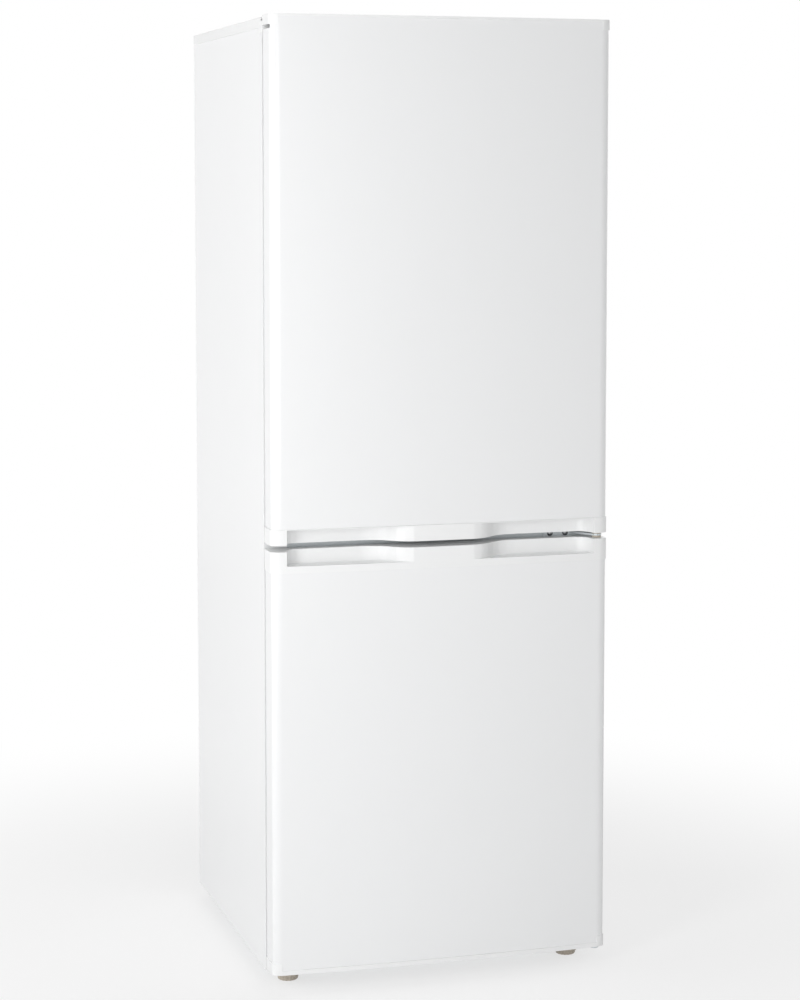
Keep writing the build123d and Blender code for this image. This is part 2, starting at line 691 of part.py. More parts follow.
# door linings: a sheet on the rear, with a raised dyke on the upper door that carries the
# balconies and a low raised field on the lower door
LINING_HALF = HALF - REAR_RETURN - 1
DYKE_HALF = 219.0
DYKE_WIDTH = 29.0
DYKE_REAR = -200.0
DYKE = (752.0, 1444.0)
DYKE_EDGE = 6.0
DYKE_SHELL = 8.0            # from the outside of the dyke to its foam
FIELD = (92.0, 650.0)
FIELD_EDGE = 8.0
FIELD_SHELL = 12.0
FIELD_REAR = -234.0
FRIDGE_LINING = (FRIDGE_SKIN[0] + CAP_INSERT, CORNER_BLOCK_BOTTOM)
FREEZER_LINING = (FREEZER_SKIN[0] + CAP_INSERT, FREEZER_SKIN[1] - CAP_INSERT)
LINING_FRONT = DOOR_REAR - LINER


def dyke_core():
    """Inside of the dyke, which the foam of the door fills."""
    core_z = (DYKE[0] + DYKE_SHELL, DYKE[1] - DYKE_SHELL)
    core_y = (LINING_FRONT, DYKE_REAR - LINER)
    return frame(DYKE_HALF - DYKE_SHELL, core_z, DYKE_WIDTH - 2 * DYKE_SHELL, core_y)


with BuildPart() as fridge_door_liner:
    block((-LINING_HALF, LINING_HALF), (LINING_FRONT, DOOR_REAR), FRIDGE_LINING)
    add(frame(DYKE_HALF, DYKE, DYKE_WIDTH, (LINING_FRONT, DYKE_REAR)))
    chamfer(fridge_door_liner.faces().sort_by(Axis.Y)[-1].outer_wire().edges(), DYKE_EDGE)
    add(dyke_core(), mode=Mode.SUBTRACT)
save(fridge_door_liner, "fridge_door_liner")

with BuildPart() as freezer_door_liner:
    block((-LINING_HALF, LINING_HALF), (LINING_FRONT, DOOR_REAR), FREEZER_LINING)
    block((-DYKE_HALF, DYKE_HALF), (DOOR_REAR, FIELD_REAR), FIELD)
    chamfer(freezer_door_liner.faces().sort_by(Axis.Y)[-1].edges(), FIELD_EDGE)
    field_x = (-DYKE_HALF + FIELD_SHELL, DYKE_HALF - FIELD_SHELL)
    field_y = (LINING_FRONT, FIELD_REAR - LINER)
    field_z = (FIELD[0] + FIELD_SHELL, FIELD[1] - FIELD_SHELL)
    block(field_x, field_y, field_z, mode=Mode.SUBTRACT)
save(freezer_door_liner, "freezer_door_liner")


def door_foam(skin, handle_side, plain_end):
    """Foam core of a door. handle_side gives the handle cap's outer face and the depth of its
    scoops along Z; plain_end is the inner end of the plain cap's floor."""
    inward = 1 if plain_end > handle_side[0] else -1
    lip, scoop_height = handle_side
    room = (lip + inward * CAP_WALL, plain_end)
    seams = (skin[0], skin[1]) if inward > 0 else (skin[1], skin[0])
    insert_ends = (seams[0] + inward * CAP_INSERT, seams[1] - inward * CAP_INSERT)
    over_scoop = lip + inward * (scoop_height + CAP_WALL)
    scoop_wall = FRONT + SCOOP_DEPTH + CAP_WALL
    narrow = CAP_HALF - SKIN_INSIDE - CAP_WALL
    with BuildPart() as foam:
        with BuildSketch(Plane.XY.offset(insert_ends[0])) as core:
            add(rectangle_plan(insert_ends[0], CAP_HALF - SKIN_INSIDE, FRONT + SKIN_INSIDE, LINING_FRONT))
            fillet(core.vertices().group_by(Axis.Y)[0], CAP_RADIUS - SKIN_INSIDE)
        extrude(amount=insert_ends[1] - insert_ends[0])
        with BuildSketch(Plane.XY.offset(over_scoop)) as ends:
            front = FRONT + SKIN_INSIDE + CAP_WALL
            add(rectangle_plan(over_scoop, narrow, front, DOOR_REAR - CAP_WALL))
            fillet(ends.vertices().group_by(Axis.Y)[0], CAP_RADIUS - SKIN_INSIDE - CAP_WALL)
        extrude(amount=room[1] - over_scoop)
        with BuildSketch(Plane.XY.offset(room[0])):
            add(rectangle_plan(room[0], CORNER_BLOCK_INNER, scoop_wall, DOOR_REAR - CAP_WALL))
        extrude(amount=over_scoop - room[0])
    return foam.part


def rectangle_plan(z, half_width, front, rear):
    """A rectangle in plan at height z."""
    with BuildSketch(Plane.XY.offset(z)) as plan:
        with Locations((0, (front + rear) / 2)):
            Rectangle(2 * half_width, rear - front)
    return plan.sketch


with BuildPart() as fridge_door_foam:
    add(door_foam(FRIDGE_SKIN, (FRIDGE_DOOR_BOTTOM, UPPER_SCOOP_HEIGHT), HEIGHT - CAP_WALL))
    for side in (-1, 1):
        corner_x = sorted((side * CORNER_BLOCK_INNER, side * CAP_HALF))
        block(corner_x, (FRONT, DOOR_REAR), (CORNER_BLOCK_BOTTOM, HEIGHT), mode=Mode.SUBTRACT)
    add(dyke_core())
    add(bosses(FRIDGE_DOOR_BOTTOM, FRIDGE_DOOR_BOTTOM + BUSH_LENGTH), mode=Mode.SUBTRACT)
save(fridge_door_foam, "fridge_door_foam")

with BuildPart() as freezer_door_foam:
    plain_floor = FREEZER_DOOR_BOTTOM + CAP_WALL
    add(door_foam(FREEZER_SKIN, (FREEZER_DOOR_TOP, LOWER_SCOOP_HEIGHT), plain_floor))
    block(field_x, field_y, field_z)
    add(bosses(FREEZER_DOOR_BOTTOM, FREEZER_DOOR_BOTTOM + BUSH_LENGTH), mode=Mode.SUBTRACT)
save(freezer_door_foam, "freezer_door_foam")

# magnetic gaskets: a base on the door, a narrow waist and a bulb that meets the cabinet
GASKET_HALF = 258.0
GASKET_WIDTH = 16.0
GASKET_BASE = 3.0
GASKET_WAIST = 2.0
WAIST_INSET = 5.0
BULB_INSET = 1.5
FRIDGE_GASKET = (712.0, CORNER_BLOCK_BOTTOM)
FREEZER_GASKET = (46.0, FREEZER_DOOR_TOP - 5)
GASKET_END = CABINET_FRONT - RUNNING_GAP


def gasket(z):
    """Closed gasket ring between two outer heights, with a stepped bellows section."""
    base_end = DOOR_REAR + GASKET_BASE
    waist_end = base_end + GASKET_WAIST
    with BuildPart() as ring:
        add(frame(GASKET_HALF, z, GASKET_WIDTH, (DOOR_REAR, base_end)))
        for inset, y in ((WAIST_INSET, (base_end, waist_end)), (BULB_INSET, (waist_end, GASKET_END))):
            inner_z = (z[0] + inset, z[1] - inset)
            add(frame(GASKET_HALF - inset, inner_z, GASKET_WIDTH - 2 * inset, y))
    return ring


save(gasket(FRIDGE_GASKET), "fridge_door_gasket")
save(gasket(FREEZER_GASKET), "freezer_door_gasket")

# balconies between the dykes of the upper door
BALCONY_HALF = DYKE_HALF - DYKE_WIDTH
BALCONY_REAR = -155.0
BALCONY_WALL = 2.5
BALCONY_CORNER = 14.0
BALCONY_HEIGHT = 62.0
BALCONY_LEVELS = (1085.0, 1290.0)
BOTTLE_HEIGHT = 95.0
BOTTLE_LEVEL = 784.0
HOOK_HEIGHT = 20.0          # of the low side next to the door
HOOK_WIDTH = 12.0


def balcony(level, height):
    """Tray between the dykes, open on top and cut low beside the door, where it hooks on."""
    with BuildPart() as tray:
        with BuildSketch(Plane.XY.offset(level)) as plan:
            with Locations((0, (DOOR_REAR + BALCONY_REAR) / 2)):
                Rectangle(2 * BALCONY_HALF, BALCONY_REAR - DOOR_REAR)
            chamfer(plan.vertices().group_by(Axis.Y)[-1], BALCONY_CORNER)
        extrude(amount=height)
        offset(amount=-BALCONY_WALL, openings=tray.part.faces().sort_by(Axis.Z)[-1])
        block(
            (-BALCONY_HALF + HOOK_WIDTH, BALCONY_HALF - HOOK_WIDTH),
            (DOOR_REAR, DOOR_REAR + BALCONY_WALL),
            (level + HOOK_HEIGHT, level + height),
            mode=Mode.SUBTRACT,
        )
    return tray.part


with BuildPart() as door_balconies:
    for level in BALCONY_LEVELS:
        add(balcony(level, BALCONY_HEIGHT))
save(door_balconies, "door_balconies")

with BuildPart() as bottle_balcony:
    add(balcony(BOTTLE_LEVEL, BOTTLE_HEIGHT))
save(bottle_balcony, "bottle_balcony")

# ---------------------------------------------------------------- inside the upper compartment
GLASS = 4.0
GLASS_HALF = CAVITY_HALF - 2
TRIM_DEPTH = 14.0
TRIM_HALF = CAVITY_HALF - LEDGE_REACH - 2
USED_LEVELS = (SHELF_LEVELS[0], SHELF_LEVELS[2], SHELF_LEVELS[3], SHELF_LEVELS[5])
with BuildPart() as glass_shelves:
    for level in USED_LEVELS:
        block(
            (-GLASS_HALF, GLASS_HALF),
            (SHELF_DEPTH[0] + TRIM_DEPTH, SHELF_DEPTH[1]),
            (level, level + GLASS),
        )
save(glass_shelves, "glass_shelves")

# front edging of the shelves, a channel with a rounded nose that grips the glass
with BuildPart() as shelf_trims:
    for level in USED_LEVELS:
        with BuildSketch(Plane.YZ):
            with BuildLine():
                front = SHELF_DEPTH[0]
                top = level + GLASS + 2
                nose = Polyline((front + TRIM_DEPTH, level), (front + 4, level - 4), (front, level - 1))
                Line(nose @ 1, (front, top - 4))
                ThreePointArc((front, top - 4), (front + 1.2, top - 1.2), (front + 4, top))
                Polyline((front + 4, top), (front + TRIM_DEPTH, top), (front + TRIM_DEPTH, level))
            make_face()
        extrude(amount=TRIM_HALF, both=True)
save(shelf_trims, "shelf_trims")

DRAWER_HALF = 200.0
DRAWER_WALL = 2.5
GRIP_REACH = 9.0
GRIP_HEIGHT = 16.0
CRISPER = ((-130.0, 200.0), (FRIDGE_FLOOR + SKID_HEIGHT + RUNNING_GAP, 890.0))
DRAWER_TAPER = 4.0          # degrees that the walls of the bins lean out
DRAWER_CORNER = 16.0


def bin_shell(y, z):
    """Open-topped bin whose walls lean out towards the top."""
    with BuildPart() as bin_part:
        with BuildSketch(Plane.XY.offset(z[1])) as rim:
            with Locations((0, sum(y) / 2)):
                Rectangle(2 * DRAWER_HALF, y[1] - y[0])
            chamfer(rim.vertices(), DRAWER_CORNER)
        extrude(amount=z[0] - z[1])
        walls = bin_part.faces().filter_by(Axis.Z, reverse=True)
        draft(walls, neutral_plane=Plane.XY.offset(z[1]), angle=-DRAWER_TAPER)
        offset(amount=-DRAWER_WALL, openings=bin_part.faces().sort_by(Axis.Z)[-1])
    return bin_part.part


def drawer_front(y, z):
    """Front plate of a drawer, turned over along its top edge into a grip."""
    with BuildPart() as plate:
        with BuildSketch(Plane.YZ):
            with BuildLine():
                Polyline(
                    (y + DRAWER_WALL, z[0]),
                    (y, z[0]),
                    (y, z[1] - DRAWER_WALL),
                    (y - GRIP_REACH, z[1] - DRAWER_WALL),
                    (y - GRIP_REACH, z[1] - GRIP_HEIGHT),
                    (y - GRIP_REACH - DRAWER_WALL, z[1] - GRIP_HEIGHT),
                    (y - GRIP_REACH - DRAWER_WALL, z[1]),
                    (y + DRAWER_WALL, z[1]),
                    close=True,
                )
            make_face()
        extrude(amount=DRAWER_HALF, both=True)
    return plate.part


def drawer(y, z):
    """Drawer moulded in one piece: a bin and its front plate."""
    with BuildPart() as body:
        add(bin_shell(y, z))
        add(drawer_front(y[0] - DRAWER_WALL / 2, z))
    return body


save(drawer(*CRISPER), "crisper_drawer")

# thermostat and lamp housing under the ceiling, with the knob on its front
HOUSING_X = (-85.0, 95.0)
HOUSING_FRONT = -140.0
HOUSING_REAR = 20.0
HOUSING_BOTTOM = 1424.0
HOUSING_CORNER = 10.0
HOUSING_EDGE = 3.0
KNOB_X = 62.0
KNOB_Z = 1443.0
KNOB_RADIUS = 15.0
KNOB_DISC = 6.0
KNOB_BAR = (8.0, 7.0)       # width and height of the finger bar
KNOB_EDGE = 2.0
KNOB_SIDES = 24
STEM_LENGTH = 10.0
KNOB_STEM = 3.0
LAMP_X = -35.0
LAMP_ROOM = ((LAMP_X - 42, LAMP_X + 42), (-118.0, 4.0))
SWITCH_X = -35.0
SWITCH_Z = 1455.0
SWITCH_FRONT = -226.0
NOSE_HALF = 9.0
NOSE_BOTTOM = SWITCH_Z - 6
PLUNGER_HALF = 3.0
PLUNGER_POINT = 1.5
PLUNGER_TIP = DOOR_REAR + 2
PLUNGER_ROOT = 20.0         # of the plunger inside the nose
PLUNGER_SHAFT_END = -160.0


def plunger_section(half):
    """Limits along X and Z of a square about the axis of the plunger."""
    return (SWITCH_X - half, SWITCH_X + half), (SWITCH_Z - half, SWITCH_Z + half)


with BuildPart() as thermostat_housing:
    block(HOUSING_X, (HOUSING_FRONT, HOUSING_REAR), (HOUSING_BOTTOM, FRIDGE_CEILING))
    chamfer(thermostat_housing.edges().filter_by(Axis.Z), HOUSING_CORNER)
    chamfer(thermostat_housing.faces().sort_by(Axis.Z)[0].edges(), HOUSING_EDGE)
    nose_x = (SWITCH_X - NOSE_HALF, SWITCH_X + NOSE_HALF)
    block(nose_x, (SWITCH_FRONT, HOUSING_FRONT + 5), (NOSE_BOTTOM, FRIDGE_CEILING))
    block(*LAMP_ROOM, (HOUSING_BOTTOM, FRIDGE_CEILING - 3), mode=Mode.SUBTRACT)
    with Locations(forward(KNOB_X, HOUSING_FRONT, KNOB_Z)):
        Cylinder(KNOB_STEM, 2 * (STEM_LENGTH + 2), mode=Mode.SUBTRACT)
    shaft = plunger_section(PLUNGER_HALF + PIN_CLEARANCE)
    block(shaft[0], (SWITCH_FRONT, PLUNGER_SHAFT_END), shaft[1], mode=Mode.SUBTRACT)
save(thermostat_housing, "thermostat_housing")

with BuildPart() as thermostat_knob:
    knob_back = forward(KNOB_X, HOUSING_FRONT - RUNNING_GAP, KNOB_Z)
    prism(knob_back, KNOB_RADIUS, KNOB_SIDES, KNOB_DISC)
    with BuildSketch(knob_back.offset(KNOB_DISC)):
        Rectangle(KNOB_BAR[0], 2 * KNOB_RADIUS - KNOB_DISC)
    extrude(amount=KNOB_BAR[1])
    chamfer(thermostat_knob.faces().sort_by(Axis.Y)[0].edges(), KNOB_EDGE)
    with BuildSketch(knob_back):
        Circle(KNOB_STEM - PIN_CLEARANCE)
    extrude(amount=-STEM_LENGTH)
save(thermostat_knob, "thermostat_knob")

# pear-shaped lamp lying along the housing, its socket end on the left
LAMP_SOCKET = (22.0, 9.0)   # length and radius
LAMP_BULB = (44.0, 11.0)
LAMP_NECK = (30.0, 3.0)     # length and depth of the slopes at both ends of the bulb
LAMP_CROWN = (9.0, 7.0)
with BuildPart() as lamp:
    socket_end = Plane((LAMP_X - 18, sum(LAMP_ROOM[1]) / 2, HOUSING_BOTTOM + 19), z_dir=(1, 0, 0))
    prism(socket_end, LAMP_BULB[1], SIDES, LAMP_BULB[0])
    neck, crown = lamp.faces().filter_by(Axis.X).sort_by(Axis.X)
    slope(crown, *LAMP_CROWN)
    slope(neck, *LAMP_NECK)
    prism(socket_end, LAMP_SOCKET[1], SIDES, -LAMP_SOCKET[0])
save(lamp, "lamp")

# clear cover that closes the lamp chamber from below
COVER_WALL = 3.0
COVER_FLOOR = 1.5
COVER_BOTTOM = HOUSING_BOTTOM - 4
COVER_TOP = HOUSING_BOTTOM + 2
with BuildPart() as lamp_cover:
    block(*LAMP_ROOM, (COVER_BOTTOM, COVER_TOP))
    chamfer(lamp_cover.faces().sort_by(Axis.Z)[0].edges(), COVER_WALL)
    inner_x, inner_y = ((low + COVER_WALL, high - COVER_WALL) for low, high in LAMP_ROOM)
    block(inner_x, inner_y, (COVER_BOTTOM + COVER_FLOOR, COVER_TOP), mode=Mode.SUBTRACT)
save(lamp_cover, "lamp_cover")

# door switch: the door pushes this plunger into the nose of the housing
with BuildPart() as switch_plunger:
    plunger = plunger_section(PLUNGER_HALF)
    block(plunger[0], (PLUNGER_TIP, SWITCH_FRONT + PLUNGER_ROOT), plunger[1])
    chamfer(switch_plunger.faces().sort_by(Axis.Y)[0].edges(), PLUNGER_POINT)
save(switch_plunger, "switch_plunger")

# ---------------------------------------------------------------- inside the lower compartment
FREEZER_DRAWER_FRONT = -196.0
UPPER_DRAWER_DEPTH = (FREEZER_DRAWER_FRONT, 195.0)
LOWER_DRAWER_DEPTH = (FREEZER_DRAWER_FRONT, STEP_FRONT - 20)
SHELF_TOPS = [level + EVAPORATOR_THICKNESS for level in EVAPORATOR_LEVELS]
FREEZER_DRAWERS = {
    "lower": (LOWER_DRAWER_DEPTH, (FREEZER_FLOOR + SKID_HEIGHT + RUNNING_GAP, 285.0)),
    "middle": (UPPER_DRAWER_DEPTH, (SHELF_TOPS[0] + RUNNING_GAP, 465.0)),
    "upper": (UPPER_DRAWER_DEPTH, (SHELF_TOPS[1] + RUNNING_GAP, 645.0)),
}
for name, (y, z) in FREEZER_DRAWERS.items():
    save(drawer(y, z), f"freezer_drawer_{name}")


def evaporator_shelf(level):
    """Tube, wires above it and cross bars of a shelf that cools the drawers beside it."""
    tube_radius = 2.2
    reach = CAVITY_HALF - 24
    runs = 8
    pitch = 50.0
    first = 150.0               # Y of the rearmost run
    last = first - (runs - 1) * pitch
    wire_width = 2.0
    wire_count = 9
    bar_offset = 8.0            # from an outermost run to the cross bar beside it
    bar_width = 6.0
    points = []
    for run in range(runs):
        y = first - run * pitch
        ends = (-reach, reach) if run % 2 == 0 else (reach, -reach)
        points += [(ends[0], y, level + tube_radius), (ends[1], y, level + tube_radius)]
    wires_y = (last - bar_offset - bar_width / 2, first + bar_offset + bar_width / 2)
    wires_z = level + 2 * tube_radius
    with BuildPart() as wires:
        with BuildSketch(Plane.XY.offset(wires_z)):
            with Locations((0, sum(wires_y) / 2)):
                with GridLocations(2 * reach / wire_count, 1, wire_count, 1):
                    Rectangle(wire_width, wires_y[1] - wires_y[0])
        extrude(amount=level + EVAPORATOR_THICKNESS - wires_z)
    with BuildPart() as bars:
        for y in (first + bar_offset, last - bar_offset):
            bar_y = (y - bar_width / 2, y + bar_width / 2)
            block((-CAVITY_HALF, CAVITY_HALF), bar_y, (level, wires_z))
    return [pipe(points, tube_radius, pitch / 4), wires.part, bars.part]


evaporator_parts = [piece for level in EVAPORATOR_LEVELS for piece in evaporator_shelf(level)]
save(gather(*evaporator_parts), "evaporator_shelves")

# ---------------------------------------------------------------- compressor bay
DECK = 30.0
DECK_SHEET = 1.5
DECK_REAR = CABINET_REAR - 4
DECK_EDGE = DECK + 18       # top of the upturned front and rear edges
EAR_X = (ROLLER_X - 12.0, ROLLER_X + 12.0)
EAR_HALF = 14.0
EAR_BOTTOM = ROLLER_RADIUS - 10
ROLLER_WIDTH = 18.0
ROLLER_SIDES = 32
axle_places = [Location((side * ROLLER_X, ROLLER_Y, ROLLER_RADIUS), (0, 90, 0)) for side in (-1, 1)]
with BuildPart() as compressor_deck:
    with BuildSketch(Plane.YZ):
        with BuildLine():
            Polyline(
                (BAY_FRONT, DECK_EDGE),
                (BAY_FRONT, DECK),
                (DECK_REAR, DECK),
                (DECK_REAR, DECK_EDGE),
                (DECK_REAR - DECK_SHEET, DECK_EDGE),
                (DECK_REAR - DECK_SHEET, DECK + DECK_SHEET),
                (BAY_FRONT + DECK_SHEET, DECK + DECK_SHEET),
                (BAY_FRONT + DECK_SHEET, DECK_EDGE),
                close=True,
            )
        make_face()
    extrude(amount=FOAM_HALF, both=True)
    for side in (-1, 1):
        for x in EAR_X:
            block(
                sorted((side * (x - 1), side * (x + 1))),
                (ROLLER_Y - EAR_HALF, ROLLER_Y + EAR_HALF),
                (EAR_BOTTOM, DECK + DECK_SHEET),
            )
        block(
            sorted((side * (EAR_X[0] + 1), side * (EAR_X[1] - 1))),
            (ROLLER_Y - ROLLER_RADIUS - 3, ROLLER_Y + ROLLER_RADIUS + 3),
            (DECK, DECK + DECK_SHEET),
            mode=Mode.SUBTRACT,
        )
    for place in axle_places:
        prism(Plane(place).offset(-EAR_HALF), PIN_RADIUS, SIDES, 2 * EAR_HALF, mode=Mode.SUBTRACT)
save(compressor_deck, "compressor_deck")

with BuildPart() as roller_axles:
    with Locations(axle_places):
        Cylinder(PIN_RADIUS, EAR_X[1] - EAR_X[0] + 4)
save(roller_axles, "roller_axles")

for place, name in zip(axle_places, ("rear_left_roller", "rear_right_roller")):
    with BuildPart() as roller:
        prism(Plane(place).offset(-ROLLER_WIDTH / 2), ROLLER_RADIUS, ROLLER_SIDES, ROLLER_WIDTH)
        with Locations(place):
            Cylinder(PIN_RADIUS + PIN_CLEARANCE, ROLLER_WIDTH, mode=Mode.SUBTRACT)
    save(roller, name)

# levelling feet: a grip disc and a spanner collar under a stem that screws into the front rail
GRIP_RADIUS = 20.0
GRIP_SIDES = 16
GRIP_EDGE = 2.0
GRIP_TOP = 11.0
COLLAR_RADIUS = 12.0
COLLAR_TOP = CABINET_BOTTOM - 3
STEM_TOP = FOOT_BLOCK_TOP - 3
for side, name in ((-1, "front_left_foot"), (1, "front_right_foot")):
    with BuildPart() as foot:
        sole = upward(side * FOOT_X, FOOT_Y, 0)
        prism(sole, GRIP_RADIUS, GRIP_SIDES, GRIP_TOP)
        chamfer(foot.faces().sort_by(Axis.Z)[0].edges(), GRIP_EDGE)
        prism(sole.offset(GRIP_TOP), COLLAR_RADIUS, HEXAGON, COLLAR_TOP - GRIP_TOP)
        with Locations((side * FOOT_X, FOOT_Y, COLLAR_TOP)):
            Cylinder(STEM_RADIUS, STEM_TOP - COLLAR_TOP, align=LOW)
    save(foot, name)

# hermetic compressor: two drawn shells on a base plate, standing on four rubber mounts
COMPRESSOR_X = -55.0
COMPRESSOR_Y = 178.0
MOUNT_HEIGHT = 12.0
MOUNT_RADIUS = 10.0
PLATE_Z = DECK + DECK_SHEET + MOUNT_HEIGHT
PLATE = (230.0, 120.0)
PLATE_CORNER = 14.0
PLATE_THICKNESS = 3.5
SHELL_Z = PLATE_Z + 3
SHELL = (186.0, 142.0)
SHELL_SIDES = 24            # of the two rounds that the shell's plan is drawn about
SHELL_HEIGHT = 160.0
SEAM_Z = SHELL_Z + 78       # the two shells are welded along this rim
SEAM_REACH = 4.0
SEAM_HEIGHT = 5.0


SHELL_FOOT = (16.0, 14.0)   # length and depth of the slopes at the foot and the crown
SHELL_SHOULDER = (30.0, 11.0)
SHELL_CROWN = (10.0, 18.0)


def shell_plan(z, proud=0.0):
    """Plan of the shell at height z: two many-sided rounds and what lies between them."""
    radius = SHELL[1] / 2 + proud
    stretch = (SHELL[0] - SHELL[1]) / 2
    with BuildSketch(Plane.XY.offset(z)) as plan:
        with Locations((COMPRESSOR_X - stretch, COMPRESSOR_Y), (COMPRESSOR_X + stretch, COMPRESSOR_Y)):
            RegularPolygon(radius, SHELL_SIDES, major_radius=False, rotation=180 / SHELL_SIDES)
        make_hull()
    return plan.sketch


def plate(size, z, amount):
    """Rectangle with cut corners about the compressor's middle, extruded up from height z."""
    with BuildSketch(Plane.XY.offset(z)) as plan:
        with Locations((COMPRESSOR_X, COMPRESSOR_Y)):
            Rectangle(*size)
        chamfer(plan.vertices(), PLATE_CORNER)
    return extrude(plan.sketch, amount=amount)


with BuildPart() as compressor:
    extrude(shell_plan(SHELL_Z), amount=SHELL_HEIGHT)
    slope(compressor.faces().sort_by(Axis.Z)[0], *SHELL_FOOT)
    slope(compressor.faces().sort_by(Axis.Z)[-1], *SHELL_SHOULDER)
    slope(compressor.faces().sort_by(Axis.Z)[-1], *SHELL_CROWN)
    extrude(shell_plan(SEAM_Z, SEAM_REACH), amount=SEAM_HEIGHT)
    plate(PLATE, PLATE_Z, PLATE_THICKNESS)
save(compressor, "compressor")

with BuildPart() as compressor_mounts:
    with BuildSketch(Plane.XY.offset(DECK + DECK_SHEET)):
        with Locations((COMPRESSOR_X, COMPRESSOR_Y)):
            with GridLocations(PLATE[0] - 30, PLATE[1] - 30, 2, 2):
                RegularPolygon(MOUNT_RADIUS, SIDES)
    extrude(amount=MOUNT_HEIGHT)
save(compressor_mounts, "compressor_mounts")

RELAY_DEPTH = 32.0
RELAY_HALF = 30.0
RELAY_EDGE = 5.0
RELAY_Z = (SHELL_Z + 30, SHELL_Z + 74)
with BuildPart() as relay_cover:
    shell_right = COMPRESSOR_X + SHELL[0] / 2
    relay_y = (COMPRESSOR_Y - RELAY_HALF, COMPRESSOR_Y + RELAY_HALF)
    block((shell_right, shell_right + RELAY_DEPTH), relay_y, RELAY_Z)
    chamfer(relay_cover.faces().sort_by(Axis.X)[-1].edges(), RELAY_EDGE)
save(relay_cover, "relay_cover")

# tray over the compressor, whose warmth dries the defrost water
TRAY_BOTTOM = SHELL_Z + SHELL_HEIGHT
TRAY = (190.0, 130.0)
TRAY_HEIGHT = 28.0
TRAY_WALL = 2.0
with BuildPart() as evaporation_tray:
    plate(TRAY, TRAY_BOTTOM, TRAY_HEIGHT)
    offset(amount=-TRAY_WALL, openings=evaporation_tray.faces().sort_by(Axis.Z)[-1])
save(evaporation_tray, "evaporation_tray")

SPOUT_LENGTH = 32.0
SPOUT_RADIUS = 8.0
with BuildPart() as drain_spout:
    outlet = upward(COMPRESSOR_X, COMPRESSOR_Y, BAY_TOP - SPOUT_LENGTH)
    prism(outlet, SPOUT_RADIUS, SIDES, SPOUT_LENGTH)
    prism(outlet, SPOUT_RADIUS - TRAY_WALL, SIDES, SPOUT_LENGTH, mode=Mode.SUBTRACT)
save(drain_spout, "drain_spout")

# ---------------------------------------------------------------- condenser on the back
COIL_Y = 288.0
COIL_RADIUS = 2.4
COIL_HALF = 225.0
COIL_PITCH = 94.0
COIL_RUNS = 11
COIL_BOTTOM = 350.0
COIL_TAIL = 290.0
RISER_X = -246.0
DRIER_Z = (150.0, 250.0)
COIL_BEND = 28.0
coil_top = COIL_BOTTOM + (COIL_RUNS - 1) * COIL_PITCH
coil_points = [(RISER_X, COIL_Y, COIL_TAIL), (RISER_X, COIL_Y, coil_top)]
for run in range(COIL_RUNS):
    z = coil_top - run * COIL_PITCH
    start, end = (-COIL_HALF, COIL_HALF) if run % 2 == 0 else (COIL_HALF, -COIL_HALF)
    if run > 0:
        coil_points.append((start, COIL_Y, z))
    coil_points.append((end, COIL_Y, z))
coil_points.append((COIL_HALF, COIL_Y, DRIER_Z[1]))
WIRE = 1.6
WIRE_STEP = 17.0
WIRE_OVERHANG = 12.0
WIRE_COUNT = 12             # on the side next to the cabinet; the outer side has one less


def condenser_wires(side, count):
    """Upright wires on one side of the condenser's tube, -1 being next to the cabinet."""
    wire_z = (COIL_BOTTOM - WIRE_OVERHANG, coil_top + WIRE_OVERHANG)
    with BuildPart() as wires:
        with BuildSketch(Plane.XZ.offset(-COIL_Y - side * COIL_FLAT)):
            with Locations((0, sum(wire_z) / 2)):
                with GridLocations(2 * WIRE_STEP, 1, count, 1):
                    Rectangle(WIRE, wire_z[1] - wire_z[0])
        extrude(amount=-side * WIRE)
    return wires.part


coil = pipe(coil_points, COIL_RADIUS, COIL_BEND)
COIL_FLAT = COIL_Y - coil.bounding_box().min.Y
condenser = gather(coil, condenser_wires(-1, WIRE_COUNT), condenser_wires(1, WIRE_COUNT - 1))
save(condenser, "condenser")

# brackets that hold the condenser between two of its wires and keep it off the wall behind
BRACKET_X = 9.5 * WIRE_STEP
BRACKET_ROOT = 30.0         # half heights at the cabinet and at the outer end
BRACKET_TIP = 14.0
with BuildPart() as condenser_brackets:
    for z in (COIL_BOTTOM + COIL_PITCH / 2, coil_top - COIL_PITCH / 2):
        for x in (-BRACKET_X, BRACKET_X):
            with BuildSketch(Plane.YZ.offset(x - (WIRE_STEP - WIRE) / 2)):
                with BuildLine():
                    Polyline(
                        (CABINET_REAR, z - BRACKET_ROOT),
                        (CABINET_REAR, z + BRACKET_ROOT),
                        (-FRONT, z + BRACKET_TIP),
                        (-FRONT, z - BRACKET_TIP),
                        close=True,
                    )
                make_face()
            extrude(amount=WIRE_STEP - WIRE)
save(condenser_brackets, "condenser_brackets")

# copper filter drier, spun down at both ends to the pipes
DRIER_RADIUS = 9.0
DRIER_NECK = 3.0
DRIER_TAPER = 14.0
with BuildPart() as filter_drier:
    prism(upward(COIL_HALF, COIL_Y, DRIER_Z[0]), DRIER_RADIUS, SIDES, DRIER_Z[1] - DRIER_Z[0])
    for end in filter_drier.faces().filter_by(Axis.Z):
        slope(end, DRIER_TAPER, DRIER_RADIUS - DRIER_NECK)
save(filter_drier, "filter_drier")

